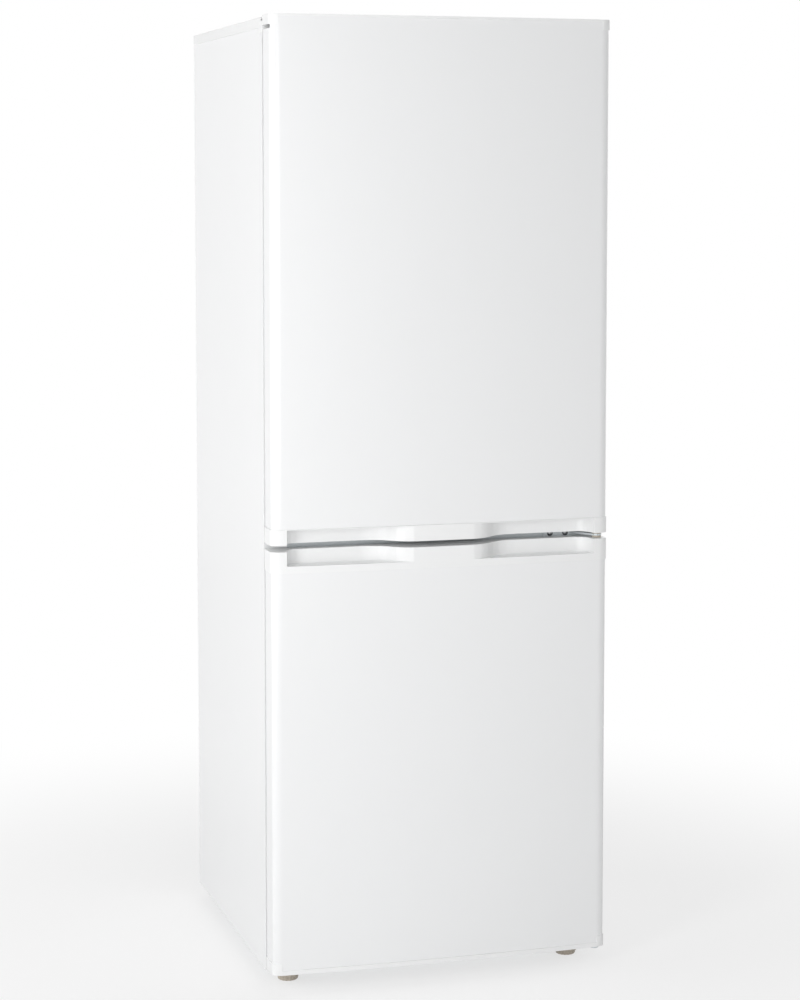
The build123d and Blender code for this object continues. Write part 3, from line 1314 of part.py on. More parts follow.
# pipes between compressor, condenser, drier and the cold side behind the bay wall
SUCTION_RADIUS = 3.2
SUCTION_BEND = 15.0
CAPILLARY_RADIUS = 1.2
CAPILLARY_BEND = 20.0
DISCHARGE_BEND = 25.0
with BuildPart() as refrigerant_pipes:
    shell_left = COMPRESSOR_X - SHELL[0] / 2
    discharge_z = SHELL_Z + 50
    suction_z = SHELL_Z + 110
    capillary_z = DRIER_Z[0] - 45
    discharge = (
        (shell_left, COMPRESSOR_Y, discharge_z),
        (RISER_X, COMPRESSOR_Y, discharge_z),
        (RISER_X, COIL_Y, discharge_z),
        (RISER_X, COIL_Y, COIL_TAIL),
    )
    suction = (
        (shell_left, COMPRESSOR_Y, suction_z),
        (shell_left - 32, COMPRESSOR_Y, suction_z),
        (shell_left - 32, BAY_FRONT, suction_z),
    )
    capillary = (
        (COIL_HALF, COIL_Y, DRIER_Z[0]),
        (COIL_HALF, COIL_Y, capillary_z),
        (COIL_HALF, BAY_FRONT, capillary_z),
    )
    add(pipe(discharge, COIL_RADIUS, DISCHARGE_BEND))
    add(pipe(suction, SUCTION_RADIUS, SUCTION_BEND))
    add(pipe(capillary, CAPILLARY_RADIUS, CAPILLARY_BEND))
save(refrigerant_pipes, "refrigerant_pipes")

# inlet of the mains lead: a grommet in the rear upstand of the deck
GLAND_X = 150.0
GLAND_Z = DECK + 10
GLAND_RADIUS = 7.0
GLAND_LENGTH = 8.0
with BuildPart() as cord_gland:
    prism(forward(GLAND_X, DECK_REAR, GLAND_Z), GLAND_RADIUS, SIDES, -GLAND_LENGTH)
    chamfer(cord_gland.faces().sort_by(Axis.Y)[-1].edges(), GLAND_RADIUS / 4)
save(cord_gland, "cord_gland")
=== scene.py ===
"""Looks of a white refrigerator over a freezer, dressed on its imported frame.

+Z is up, the doors face -Y and +X is on the right of a person facing them. Metres."""
import json
import math

import bmesh
import bpy
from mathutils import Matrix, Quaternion, Vector


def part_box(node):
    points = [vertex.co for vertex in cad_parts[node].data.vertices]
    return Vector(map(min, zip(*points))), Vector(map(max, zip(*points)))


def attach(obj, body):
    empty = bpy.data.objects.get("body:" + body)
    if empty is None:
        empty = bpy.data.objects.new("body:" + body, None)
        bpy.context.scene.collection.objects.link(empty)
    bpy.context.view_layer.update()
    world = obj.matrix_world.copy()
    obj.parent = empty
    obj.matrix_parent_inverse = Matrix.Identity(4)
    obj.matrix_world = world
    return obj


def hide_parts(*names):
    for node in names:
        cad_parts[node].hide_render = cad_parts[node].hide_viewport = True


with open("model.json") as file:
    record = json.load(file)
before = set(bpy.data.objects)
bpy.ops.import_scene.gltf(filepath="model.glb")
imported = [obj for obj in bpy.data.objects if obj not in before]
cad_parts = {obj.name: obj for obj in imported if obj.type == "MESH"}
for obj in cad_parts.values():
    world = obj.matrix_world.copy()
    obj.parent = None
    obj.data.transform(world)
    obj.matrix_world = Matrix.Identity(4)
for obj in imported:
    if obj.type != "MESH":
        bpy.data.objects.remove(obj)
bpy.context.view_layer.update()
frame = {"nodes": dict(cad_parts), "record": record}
nodes = frame["nodes"]
scene = bpy.context.scene
scene.view_settings.view_transform = "Standard"

MM = 0.001

# ---------------------------------------------------------------- camera
CAMERA_PLACE = (-1.1401, -3.9506, 1.2681)
CAMERA_HEADING = 16.3      # degrees to the right of +Y
CAMERA_DOWN = 4.86
CAMERA_LENS = 88.69
CAMERA_SHIFT = -0.11        # the photograph is framed with its horizon high

camera_data = bpy.data.cameras.new("camera")
camera_data.lens = CAMERA_LENS
camera_data.sensor_width = 36.0
camera_data.shift_y = CAMERA_SHIFT
camera_data.clip_end = 100.0
camera = bpy.data.objects.new("camera", camera_data)
camera.location = CAMERA_PLACE
camera.rotation_euler = (math.radians(90 - CAMERA_DOWN), 0, math.radians(-CAMERA_HEADING))
scene.collection.objects.link(camera)
scene.camera = camera


# ---------------------------------------------------------------- light and floor
def area_light(name, place, aim, size, power):
    """A rectangular soft box at place that looks at aim."""
    data = bpy.data.lights.new(name, "AREA")
    data.shape = "RECTANGLE"
    data.size, data.size_y = size
    data.energy = power
    lamp = bpy.data.objects.new(name, data)
    lamp.location = place
    lamp.rotation_euler = (Vector(aim) - Vector(place)).to_track_quat("-Z", "Y").to_euler()
    scene.collection.objects.link(lamp)


area_light("key", (-1.5, -1.6, 1.2), (-0.2, -0.3, 0.8), (0.5, 2.4), 17.5)
area_light("front", (-0.6, -3.4, 1.0), (0, -0.3, 0.75), (1.0, 1.8), 26)
area_light("side", (-2.6, 0.6, 1.1), (-0.2, 0.1, 0.8), (1.4, 2.2), 18.5)
area_light("right", (2.6, 0.6, 1.2), (0.2, 0.0, 0.8), (1.4, 2.2), 9)
area_light("back", (0.8, 2.8, 1.4), (0, 0.3, 0.8), (3.2, 2.6), 22)


def node(tree, kind, **inputs):
    """A new shader node with the given input values; input names use _ for spaces."""
    made = tree.nodes.new(kind)
    for name, value in inputs.items():
        made.inputs[name.replace("_", " ")].default_value = value
    return made


def seen_directly(tree):
    """1 for camera, glossy and transmission rays, else 0."""
    path = node(tree, "ShaderNodeLightPath")
    first = node(tree, "ShaderNodeMath")
    first.operation = "MAXIMUM"
    second = node(tree, "ShaderNodeMath")
    second.operation = "MAXIMUM"
    tree.links.new(path.outputs["Is Camera Ray"], first.inputs[0])
    tree.links.new(path.outputs["Is Glossy Ray"], first.inputs[1])
    tree.links.new(first.outputs[0], second.inputs[0])
    tree.links.new(path.outputs["Is Transmission Ray"], second.inputs[1])
    return second.outputs[0]


SKY_LEVEL = 0.36
world = bpy.data.worlds.new("studio")
scene.world = world
world.use_nodes = True
sky = world.node_tree
sky.nodes.clear()
dim = node(sky, "ShaderNodeBackground", Color=(1, 1, 1, 1), Strength=SKY_LEVEL)
white = node(sky, "ShaderNodeBackground", Color=(1, 1, 1, 1), Strength=1.0)
choose = node(sky, "ShaderNodeMixShader")
out = node(sky, "ShaderNodeOutputWorld")
sky.links.new(seen_directly(sky), choose.inputs[0])
sky.links.new(dim.outputs[0], choose.inputs[1])
sky.links.new(white.outputs[0], choose.inputs[2])
sky.links.new(choose.outputs[0], out.inputs[0])

FLOOR_RADIUS = 30.0
FLOOR_SIDES = 96
SHADOW_REACH = (0.5, 1.6)   # the floor fades to plain white between these distances
SHADOW_SOFTENED = 0.65      # share of plain white right under the object

floor_mesh = bpy.data.meshes.new("floor")
shape = bmesh.new()
bmesh.ops.create_circle(shape, cap_ends=True, segments=FLOOR_SIDES, radius=FLOOR_RADIUS)
shape.to_mesh(floor_mesh)
shape.free()
floor = bpy.data.objects.new("floor", floor_mesh)
scene.collection.objects.link(floor)


def floor_material():
    """Pale floor that keeps a shadow near the object and fades to the white surround."""
    made = bpy.data.materials.new("floor")
    made.use_nodes = True
    tree = made.node_tree
    tree.nodes.clear()
    place = node(tree, "ShaderNodeTexCoord")
    length = node(tree, "ShaderNodeVectorMath")
    length.operation = "LENGTH"
    fade = node(tree, "ShaderNodeMapRange")
    fade.interpolation_type = "SMOOTHSTEP"
    fade.inputs["From Min"].default_value = SHADOW_REACH[0]
    fade.inputs["From Max"].default_value = SHADOW_REACH[1]
    fade.inputs["To Min"].default_value = SHADOW_SOFTENED
    shown = node(tree, "ShaderNodeMath")
    shown.operation = "MULTIPLY"
    matte = node(tree, "ShaderNodeBsdfDiffuse", Color=(0.9, 0.9, 0.9, 1))
    plain = node(tree, "ShaderNodeEmission", Color=(1, 1, 1, 1), Strength=1.0)
    mix = node(tree, "ShaderNodeMixShader")
    result = node(tree, "ShaderNodeOutputMaterial")
    tree.links.new(place.outputs["Object"], length.inputs[0])
    tree.links.new(length.outputs["Value"], fade.inputs["Value"])
    tree.links.new(fade.outputs["Result"], shown.inputs[0])
    tree.links.new(seen_directly(tree), shown.inputs[1])
    tree.links.new(shown.outputs[0], mix.inputs[0])
    tree.links.new(matte.outputs[0], mix.inputs[1])
    tree.links.new(plain.outputs[0], mix.inputs[2])
    tree.links.new(mix.outputs[0], result.inputs[0])
    return made


floor_mesh.materials.append(floor_material())


# ---------------------------------------------------------------- materials
GLOSS_SCALE = 1.7           # scale of the noise in the gloss, over that in the tint


def surface(name, color, roughness, bump=(), tint=0.0, tint_scale=6.0, gloss_change=0.0,
            **sockets):
    """Principled material with procedural detail.

    bump holds (scale per metre, height in mm) pairs of noise; tint is the share by which a slow
    noise darkens the colour, and gloss_change the amount by which another moves the roughness."""
    made = bpy.data.materials.new(name)
    made.use_nodes = True
    tree = made.node_tree
    shader = tree.nodes["Principled BSDF"]
    shader.inputs["Base Color"].default_value = (*color, 1)
    shader.inputs["Roughness"].default_value = roughness
    for socket, value in sockets.items():
        shader.inputs[socket.replace("_", " ")].default_value = value
    place = node(tree, "ShaderNodeTexCoord").outputs["Object"]
    if tint:
        noise = node(tree, "ShaderNodeTexNoise", Scale=tint_scale, Detail=4.0)
        ramp = node(tree, "ShaderNodeMix")
        ramp.data_type = "RGBA"     # its colours are the sockets 6 and 7, and the mix is output 2
        ramp.inputs[6].default_value = (*color, 1)
        ramp.inputs[7].default_value = (*(channel * (1 - tint) for channel in color), 1)
        tree.links.new(place, noise.inputs["Vector"])
        tree.links.new(noise.outputs["Fac"], ramp.inputs[0])
        tree.links.new(ramp.outputs[2], shader.inputs["Base Color"])
    if gloss_change:
        noise = node(tree, "ShaderNodeTexNoise", Scale=tint_scale * GLOSS_SCALE, Detail=3.0)
        spread = node(tree, "ShaderNodeMapRange")
        spread.inputs["To Min"].default_value = roughness - gloss_change / 2
        spread.inputs["To Max"].default_value = roughness + gloss_change / 2
        tree.links.new(place, noise.inputs["Vector"])
        tree.links.new(noise.outputs["Fac"], spread.inputs["Value"])
        tree.links.new(spread.outputs["Result"], shader.inputs["Roughness"])
    normal = None
    for scale, height in bump:
        noise = node(tree, "ShaderNodeTexNoise", Scale=scale, Detail=2.0)
        relief = node(tree, "ShaderNodeBump", Strength=1.0, Distance=height * MM)
        tree.links.new(place, noise.inputs["Vector"])
        tree.links.new(noise.outputs["Fac"], relief.inputs["Height"])
        if normal:
            tree.links.new(normal, relief.inputs["Normal"])
        normal = relief.outputs["Normal"]
    if normal:
        tree.links.new(normal, shader.inputs["Normal"])
    return made


def clear_plastic(name, color, roughness, haze):
    """Thin clear plastic: a mix of see-through and glossy body, haze being the share of body."""
    made = surface(name, color, roughness, bump=((350.0, 0.02),), tint=0.03)
    tree = made.node_tree
    shader = tree.nodes["Principled BSDF"]
    result = tree.nodes["Material Output"]
    through = node(tree, "ShaderNodeBsdfTransparent", Color=(*color, 1))
    rim = node(tree, "ShaderNodeFresnel", IOR=1.45)
    body = node(tree, "ShaderNodeMath")
    body.operation = "ADD"
    body.use_clamp = True
    body.inputs[1].default_value = haze
    mix = node(tree, "ShaderNodeMixShader")
    tree.links.new(rim.outputs[0], body.inputs[0])
    tree.links.new(body.outputs[0], mix.inputs[0])
    tree.links.new(through.outputs[0], mix.inputs[1])
    tree.links.new(shader.outputs[0], mix.inputs[2])
    tree.links.new(mix.outputs[0], result.inputs["Surface"])
    return made


materials = {
    "enamel": surface("enamel", (0.87, 0.875, 0.88), 0.32, bump=((420.0, 0.012), (60.0, 0.03)),
                      tint=0.012, gloss_change=0.05, Coat_Weight=0.25, Coat_Roughness=0.12),
    "white_moulding": surface("white_moulding", (0.885, 0.89, 0.89), 0.38, bump=((900.0, 0.01),),
                              tint=0.015, gloss_change=0.06),
    "lining": surface("lining", (0.87, 0.885, 0.89), 0.33, bump=((300.0, 0.02),), tint=0.02,
                      gloss_change=0.08),
    "insulation": surface("insulation", (0.80, 0.70, 0.42), 0.9, bump=((500.0, 0.3),), tint=0.2,
                          tint_scale=40.0),
    "gasket": surface("gasket", (0.74, 0.76, 0.77), 0.6, bump=((700.0, 0.03),), tint=0.05),
    "clear_plastic": clear_plastic("clear_plastic", (0.86, 0.93, 0.96), 0.15, 0.30),
    "shelf_glass": clear_plastic("shelf_glass", (0.96, 0.985, 0.975), 0.03, 0.10),
    "lamp_glass": clear_plastic("lamp_glass", (0.97, 0.96, 0.93), 0.2, 0.5),
    "zinc_steel": surface("zinc_steel", (0.66, 0.70, 0.72), 0.42, bump=((160.0, 0.02),), tint=0.16,
                          tint_scale=60.0, gloss_change=0.15, Metallic=0.5),
    "bright_steel": surface("bright_steel", (0.42, 0.43, 0.44), 0.25, bump=((600.0, 0.01),),
                            tint=0.1, gloss_change=0.1, Metallic=1.0),
    "black_enamel": surface("black_enamel", (0.018, 0.018, 0.020), 0.35, bump=((500.0, 0.04),),
                            tint=0.3, tint_scale=30.0, gloss_change=0.15),
    "white_wire": surface("white_wire", (0.82, 0.84, 0.85), 0.35, bump=((300.0, 0.02),), tint=0.04),
    "copper": surface("copper", (0.72, 0.36, 0.22), 0.3, bump=((400.0, 0.03),), tint=0.35,
                      tint_scale=35.0, gloss_change=0.2, Metallic=1.0),
    "black_rubber": surface("black_rubber", (0.022, 0.022, 0.022), 0.75, bump=((900.0, 0.05),),
                            tint=0.25, tint_scale=50.0),
    "black_plastic": surface("black_plastic", (0.03, 0.03, 0.032), 0.5, bump=((1100.0, 0.03),),
                             tint=0.15, tint_scale=25.0, gloss_change=0.1),
    "grey_plastic": surface("grey_plastic", (0.56, 0.50, 0.42), 0.55, bump=((900.0, 0.04),),
                            tint=0.12, tint_scale=40.0, gloss_change=0.1),
}
slot_of = {part["node"]: part["material_slot"] for part in frame["record"]["subparts"]}
body_of = {}
for body, members in frame["record"]["behaviour"]["bodies"].items():
    for member in members:
        body_of[member] = body
for name, slot in slot_of.items():
    mesh = nodes[name].data
    mesh.materials.clear()
    mesh.materials.append(materials[slot])

# ---------------------------------------------------------------- tools for the pieces
WELD = 1e-6                 # vertices nearer than this are one
FLAT = math.radians(0.3)    # faces that differ by less lie in one plane
SHARP = math.radians(24)    # edges that turn by more are rounded
CREASE = math.radians(38)   # edges that turn by more keep a hard line in the shading
BEVEL_STEPS = 3
BEND_STEPS = 6              # in each bend of a route
CORNER_STEPS = 5            # in each corner of a slab
GRIP_DEPTH = 0.025          # of the lobes round a turned piece, as a share of its radius


def show(name, mesh, like, *replaced):
    """Add a mesh with the finish and body of the CAD node like, in place of the nodes replaced."""
    piece = bpy.data.objects.new(name, mesh)
    scene.collection.objects.link(piece)
    mesh.materials.clear()
    mesh.materials.append(materials[slot_of[like]])
    mesh.shade_smooth()
    mesh.set_sharp_from_angle(angle=CREASE)
    piece.modifiers.new("even_normals", "WEIGHTED_NORMAL").keep_sharp = True
    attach(piece, body_of[like])
    if replaced:
        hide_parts(*replaced)


def mesh_from(name, shape):
    """Turn a finished bmesh into a mesh."""
    bmesh.ops.recalc_face_normals(shape, faces=shape.faces)
    mesh = bpy.data.meshes.new(name)
    shape.to_mesh(mesh)
    shape.free()
    return mesh


def softened(like, width, bend=None, cuts=()):
    """Show a CAD node's form with its edges rounded by width in mm and its points moved by bend.

    cuts are places along X where its faces are divided first, so that they can follow a curve."""
    shape = bmesh.new()
    shape.from_mesh(nodes[like].data)
    bmesh.ops.remove_doubles(shape, verts=shape.verts, dist=WELD)
    bmesh.ops.dissolve_limit(shape, angle_limit=FLAT, verts=shape.verts, edges=shape.edges)
    if width:
        edges = [edge for edge in shape.edges if edge.is_manifold and edge.calc_face_angle() > SHARP]
        bmesh.ops.bevel(
            shape, geom=edges, offset=width * MM, segments=BEVEL_STEPS, profile=0.5,
            affect="EDGES", clamp_overlap=True,
        )
    for x in cuts:
        everything = shape.verts[:] + shape.edges[:] + shape.faces[:]
        bmesh.ops.bisect_plane(shape, geom=everything, plane_co=(x, 0, 0), plane_no=(1, 0, 0))
    if bend:
        for vertex in shape.verts:
            vertex.co = bend(vertex.co)
    show(f"soft_{like}", mesh_from(f"soft_{like}", shape), like, like)


def join_rings(shape, last, ring):
    """Close the start of a swept form, or join its last ring to the next."""
    if last is None:
        shape.faces.new(ring)
        return
    for side in range(len(ring)):
        shape.faces.new((last[side - 1], last[side], ring[side], ring[side - 1]))


def route(corners, bend):
    """Points along straight stretches between corners in mm, joined by arcs of radius bend."""
    corners = [Vector(corner) * MM for corner in corners]
    bend = bend * MM
    points = [corners[0]]
    for before, corner, after in zip(corners, corners[1:], corners[2:]):
        back = (before - corner).normalized()
        onward = (after - corner).normalized()
        half = back.angle(onward) / 2
        centre = corner + (back + onward).normalized() * bend / math.sin(half)
        first = corner + back * bend / math.tan(half) - centre
        last = corner + onward * bend / math.tan(half) - centre
        turn = first.rotation_difference(last)
        for step in range(BEND_STEPS + 1):
            points.append(centre + Quaternion().slerp(turn, step / BEND_STEPS) @ first)
    points.append(corners[-1])
    return points


def tube(shape, points, radius, sides=12):
    """Sweep a circle, its radius in mm, along points in metres without twisting it."""
    angles = [math.tau * side / sides for side in range(sides)]
    across = None
    last = None
    for before, point, after in zip(points[:1] + points, points, points[1:] + points[-1:]):
        along = (after - before).normalized()
        across = along.orthogonal() if across is None else across - along * across.dot(along)
        across.normalize()
        beside = along.cross(across)
        ring = []
        for angle in angles:
            offset = across * math.cos(angle) + beside * math.sin(angle)
            ring.append(shape.verts.new(point + offset * radius * MM))
        join_rings(shape, last, ring)
        last = ring
    shape.faces.new(last)


def rod(shape, start, end, radius, sides=12):
    """A straight round bar between two places, all in mm."""
    tube(shape, [Vector(start) * MM, Vector(end) * MM], radius, sides)


def turned(shape, profile, place, axis=(0, 0, 1), sides=36, oval=1.0, power=2.0, lobes=0):
    """Turn a profile about a line through place along axis.

    A row of the profile has radius and height in mm, and may add the power of its own ring: 2 is
    round, more is squarer and under 1 is a cross. oval is depth over width, and lobes counts the
    shallow grips round the piece."""
    stand = Vector((0, 0, 1)).rotation_difference(Vector(axis))
    last = None
    for radius, height, *own in profile:
        ring = []
        for side in range(sides):
            angle = math.tau * side / sides
            grip = 1 - GRIP_DEPTH * (1 - math.cos(lobes * angle))
            share = 2 / (own[0] if own else power)
            x = math.copysign(abs(math.cos(angle)) ** share, math.cos(angle))
            y = math.copysign(abs(math.sin(angle)) ** share, math.sin(angle))
            point = Vector((x * radius * grip, y * radius * grip * oval, height)) * MM
            ring.append(shape.verts.new(Vector(place) * MM + stand @ point))
        join_rings(shape, last, ring)
        last = ring
    shape.faces.new(last)


def middle(name):
    """The middle of a CAD node's box in mm."""
    low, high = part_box(name)
    return [(a + b) / 2 / MM for a, b in zip(low, high)]


def slab(shape, size, corner, place):
    """Upright plate with rounded corners: size in mm, place the middle of its underside."""
    outline = []
    for quarter, (x, y) in enumerate(((1, 1), (-1, 1), (-1, -1), (1, -1))):
        for step in range(CORNER_STEPS + 1):
            angle = math.pi / 2 * (quarter + step / CORNER_STEPS)
            outline.append((
                place[0] + x * (size[0] / 2 - corner) + corner * math.cos(angle),
                place[1] + y * (size[1] / 2 - corner) + corner * math.sin(angle),
            ))
    low = [shape.verts.new((x * MM, y * MM, place[2] * MM)) for x, y in outline]
    high = [shape.verts.new((x * MM, y * MM, (place[2] + size[2]) * MM)) for x, y in outline]
    join_rings(shape, None, low)
    join_rings(shape, low, high)
    shape.faces.new(high)


# ---------------------------------------------------------------- doors
DOOR_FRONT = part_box("fridge_door_handle_cap")[0][1]
DOOR_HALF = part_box("fridge_door_handle_cap")[1][0]
BOW = 8 * MM                # the sides of the front lie this far behind its middle
BOW_REACH = 18 * MM         # further behind the front the doors keep their plain form
BOW_CUTS = 22               # strips in each half of a bowed front
SCOOP_BACK = 21 * MM        # depth of a finger scoop in the frame
SCOOP_DEPTH = 36 * MM       # and on the object
CAP_DEPTH = 50.7 * MM       # from the front to the rear wall of a handle cap
SCOOP_SPAN = (32 * MM, 253 * MM)    # from the middle
SCOOP_SLACK = 0.01          # share of a scoop's height that also counts outside the cap's edge
SCOOP_LEVELS = {            # the cap's edge at the gap, and the scoops' height from there
    "fridge": (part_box("fridge_door_handle_cap")[0][2], 26.6 * MM),
    "freezer": (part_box("freezer_door_handle_cap")[1][2], -25.1 * MM),
}
PLAIN_CAPS = {"fridge": "fridge_door_top_cap", "freezer": "freezer_door_bottom_cap"}
SKIN_ROUND = 0.4
PLAIN_CAP_ROUND = 0.9
HANDLE_CAP_ROUND = 1.2
RIM_SIZE = (2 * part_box("fridge_door_liner")[1][0] / MM, 2.4, 23)
RIM_CORNER = 0.5
RIM_OVERLAP = 2             # with the liner below it
RIM_PROUD = 0.1             # of the cap round it


def bowed(point):
    """Move a point of a door's front back, more towards the sides."""
    share = min(max(1 - (point.y - DOOR_FRONT) / BOW_REACH, 0), 1)
    return Vector((point.x, point.y + BOW * share * (point.x / DOOR_HALF) ** 2, point.z))


def scooped(point, door):
    """Move a point back: to the greater depth in a finger scoop, with the bow elsewhere."""
    level, height = SCOOP_LEVELS[door]
    along = (point.z - level) / height
    depth = point.y - DOOR_FRONT
    in_span = SCOOP_SPAN[0] < abs(point.x) < SCOOP_SPAN[1]
    if not (-SCOOP_SLACK < along < 1.0 and in_span and WELD < depth < CAP_DEPTH):
        return bowed(point)
    if depth < SCOOP_BACK:
        share = depth / SCOOP_BACK
        eased = share * share * (3 - 2 * share)
        set_back = BOW * (point.x / DOOR_HALF) ** 2
        moved = set_back + depth + (SCOOP_DEPTH - SCOOP_BACK - set_back) * eased
    else:
        behind = (CAP_DEPTH - depth) / (CAP_DEPTH - SCOOP_BACK)
        moved = depth + (SCOOP_DEPTH - SCOOP_BACK) * behind
    return Vector((point.x, DOOR_FRONT + moved, point.z))


def door_fronts(door):
    """Skin, caps and foam of a door, with its bow and its finger scoops."""
    cuts = [DOOR_HALF * step / BOW_CUTS for step in range(1 - BOW_CUTS, BOW_CUTS)]
    softened(f"{door}_door_skin", SKIN_ROUND, bowed, cuts)
    softened(PLAIN_CAPS[door], PLAIN_CAP_ROUND, bowed, cuts)
    softened(f"{door}_door_handle_cap", HANDLE_CAP_ROUND, lambda point: scooped(point, door), cuts)
    softened(f"{door}_door_foam", 0, lambda point: scooped(point, door), cuts)


def door_rim():
    """Close the back of the fridge door between its liner and its top cap."""
    cap_low, cap_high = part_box("fridge_door_top_cap")
    shape = bmesh.new()
    y = cap_high[1] / MM + RIM_PROUD - RIM_SIZE[1] / 2
    slab(shape, RIM_SIZE, RIM_CORNER, (0, y, cap_low[2] / MM - RIM_OVERLAP))
    show("fridge_door_rim", mesh_from("fridge_door_rim", shape), "fridge_door_liner")


door_fronts("fridge")
door_fronts("freezer")
door_rim()

# ---------------------------------------------------------------- pieces with rounded edges
ROUNDED = {                 # radius in mm
    "outer_wrapper": 0.3, "mullion_rail": 0.3, "front_rail": 0.3, "bottom_plate": 0.3,
    "back_panel": 0.3, "compressor_deck": 0.4, "condenser_brackets": 0.3,
    "top_cover": 1.2, "hinge_blank_cover": 1.2,
    "top_hinge": 0.4, "middle_hinge": 0.4, "bottom_hinge": 0.4, "hinge_pins": 0.4,
    "hinge_washers": 0.3, "fridge_door_bushes": 0.4, "freezer_door_bushes": 0.4,
    "roller_axles": 0.3, "cord_gland": 0.8, "relay_cover": 2.0, "evaporation_tray": 0.6,
    "drain_spout": 0.5, "fridge_liner": 0.9, "freezer_liner": 0.9,
    "fridge_door_liner": 0.9, "freezer_door_liner": 0.9,
    "fridge_door_gasket": 1.0, "freezer_door_gasket": 1.0,
    "glass_shelves": 0.8, "shelf_trims": 1.2, "thermostat_housing": 1.6, "lamp_cover": 1.0,
    "door_balconies": 0.7, "bottle_balcony": 0.7, "crisper_drawer": 0.8,
    "freezer_drawer_lower": 0.8, "freezer_drawer_middle": 0.8, "freezer_drawer_upper": 0.8,
    "thermostat_knob": 0.6, "switch_plunger": 0.4,
}
for name, width in ROUNDED.items():
    softened(name, width)

# ---------------------------------------------------------------- cooling circuit, in mm
TUBE_RADIUS = 2.4
WIRE_RADIUS = 0.8
WIRE_SIDES = 8

COIL_Y = 288
COIL_HALF = 225             # reach of a run to either side
COIL_PITCH = 94
COIL_RUNS = 11
COIL_TOP = 1290
COIL_TAIL = 290             # where the riser goes over into the discharge pipe
COIL_BEND = 28
RISER_X = -246
COIL_WIRES = {-1: 12, 1: 11}    # on the cabinet's side of the coil and on the outer side
COIL_WIRE_STEP = 34
COIL_WIRE_OFFSET = 2.9      # from the coil's middle to the middle of its wires
COIL_WIRE_OVERHANG = 12
DRIER_Z = (150, 250)

SHELF_LEVELS = (304, 484)
SHELF_TUBE = 2.2
SHELF_REACH = 206
SHELF_RUNS = 8
SHELF_PITCH = 50
SHELF_REAR = 150            # Y of the rearmost run
SHELF_BAR_HALF = 230
SHELF_BAR_OFFSET = 8        # from the outermost runs
SHELF_WIRES = 9
SHELF_WIRE_RISE = 5.2
SHELF_WIRE_OVERHANG = 11

BASE_PLATE = (230, 120, 3.5)
BASE_PLATE_CORNER = 14
SHELL_SUNK = 0.5            # into its base plate
SHELL_OVAL = 142 / 186
SHELL_SQUARENESS = 2.5
SHELL = (                   # foot, seam and dome
    (74, 0), (80, 1.5), (86, 7), (90.5, 16), (93, 27),
    (93, 77), (95.5, 78), (97, 79), (97, 82), (96, 83), (93, 83.5),
    (93, 108), (92, 122), (89, 135), (84, 145), (77, 152), (68, 157), (56, 159.5), (30, 160),
)

OUTLET = 92                 # where the pipes leave the shell, from its middle
DISCHARGE_RISE = 53         # over the underside of the base plate
DISCHARGE_BEND = 25
SUCTION_RISE = 113
SUCTION_LENGTH = 33         # from the shell to the bend
SUCTION_RADIUS = 3.2
SUCTION_BEND = 15
CAPILLARY_Z = 105
CAPILLARY_RADIUS = 1.2
CAPILLARY_BEND = 20


def condenser():
    """Coil with upright wires welded to both of its sides."""
    corners = [(RISER_X, COIL_Y, COIL_TAIL), (RISER_X, COIL_Y, COIL_TOP)]
    for run in range(COIL_RUNS):
        z = COIL_TOP - run * COIL_PITCH
        end = COIL_HALF if run % 2 == 0 else -COIL_HALF
        if run > 0:
            corners.append((-end, COIL_Y, z))
        corners.append((end, COIL_Y, z))
    corners.append((COIL_HALF, COIL_Y, DRIER_Z[1]))
    shape = bmesh.new()
    tube(shape, route(corners, COIL_BEND), TUBE_RADIUS)
    low = COIL_TOP - (COIL_RUNS - 1) * COIL_PITCH - COIL_WIRE_OVERHANG
    high = COIL_TOP + COIL_WIRE_OVERHANG
    for side, count in COIL_WIRES.items():
        y = COIL_Y + side * COIL_WIRE_OFFSET
        for wire in range(count):
            x = (wire - (count - 1) / 2) * COIL_WIRE_STEP
            rod(shape, (x, y, low), (x, y, high), WIRE_RADIUS, WIRE_SIDES)
    show("condenser_coil", mesh_from("condenser_coil", shape), "condenser", "condenser")


def evaporator_shelves():
    """Shelves of cooling tube with wires across the top and a bar at the front and the rear."""
    front = SHELF_REAR - (SHELF_RUNS - 1) * SHELF_PITCH
    wire_y = (front - SHELF_WIRE_OVERHANG, SHELF_REAR + SHELF_WIRE_OVERHANG)
    shape = bmesh.new()
    for level in SHELF_LEVELS:
        tube_z = level + SHELF_TUBE
        corners = []
        for run in range(SHELF_RUNS):
            y = SHELF_REAR - run * SHELF_PITCH
            end = SHELF_REACH if run % 2 == 0 else -SHELF_REACH
            corners += [(-end, y, tube_z), (end, y, tube_z)]
        tube(shape, route(corners, SHELF_PITCH / 4), SHELF_TUBE)
        for y in (SHELF_REAR + SHELF_BAR_OFFSET, front - SHELF_BAR_OFFSET):
            rod(shape, (-SHELF_BAR_HALF, y, tube_z), (SHELF_BAR_HALF, y, tube_z), SHELF_TUBE)
        wire_z = level + SHELF_WIRE_RISE
        for wire in range(SHELF_WIRES):
            x = (wire - (SHELF_WIRES - 1) / 2) * 2 * SHELF_REACH / SHELF_WIRES
            rod(shape, (x, wire_y[0], wire_z), (x, wire_y[1], wire_z), WIRE_RADIUS, WIRE_SIDES)
    mesh = mesh_from("evaporator_tubes", shape)
    show("evaporator_tubes", mesh, "evaporator_shelves", "evaporator_shelves")


def compressor():
    """Pressed shell with a welded seam on its base plate."""
    x, y, _ = middle("compressor")
    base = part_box("compressor")[0][2] / MM
    foot = (x, y, base + BASE_PLATE[2] - SHELL_SUNK)
    shape = bmesh.new()
    slab(shape, BASE_PLATE, BASE_PLATE_CORNER, (x, y, base))
    turned(shape, SHELL, foot, oval=SHELL_OVAL, power=SHELL_SQUARENESS, sides=64)
    show("compressor_shell", mesh_from("compressor_shell", shape), "compressor", "compressor")


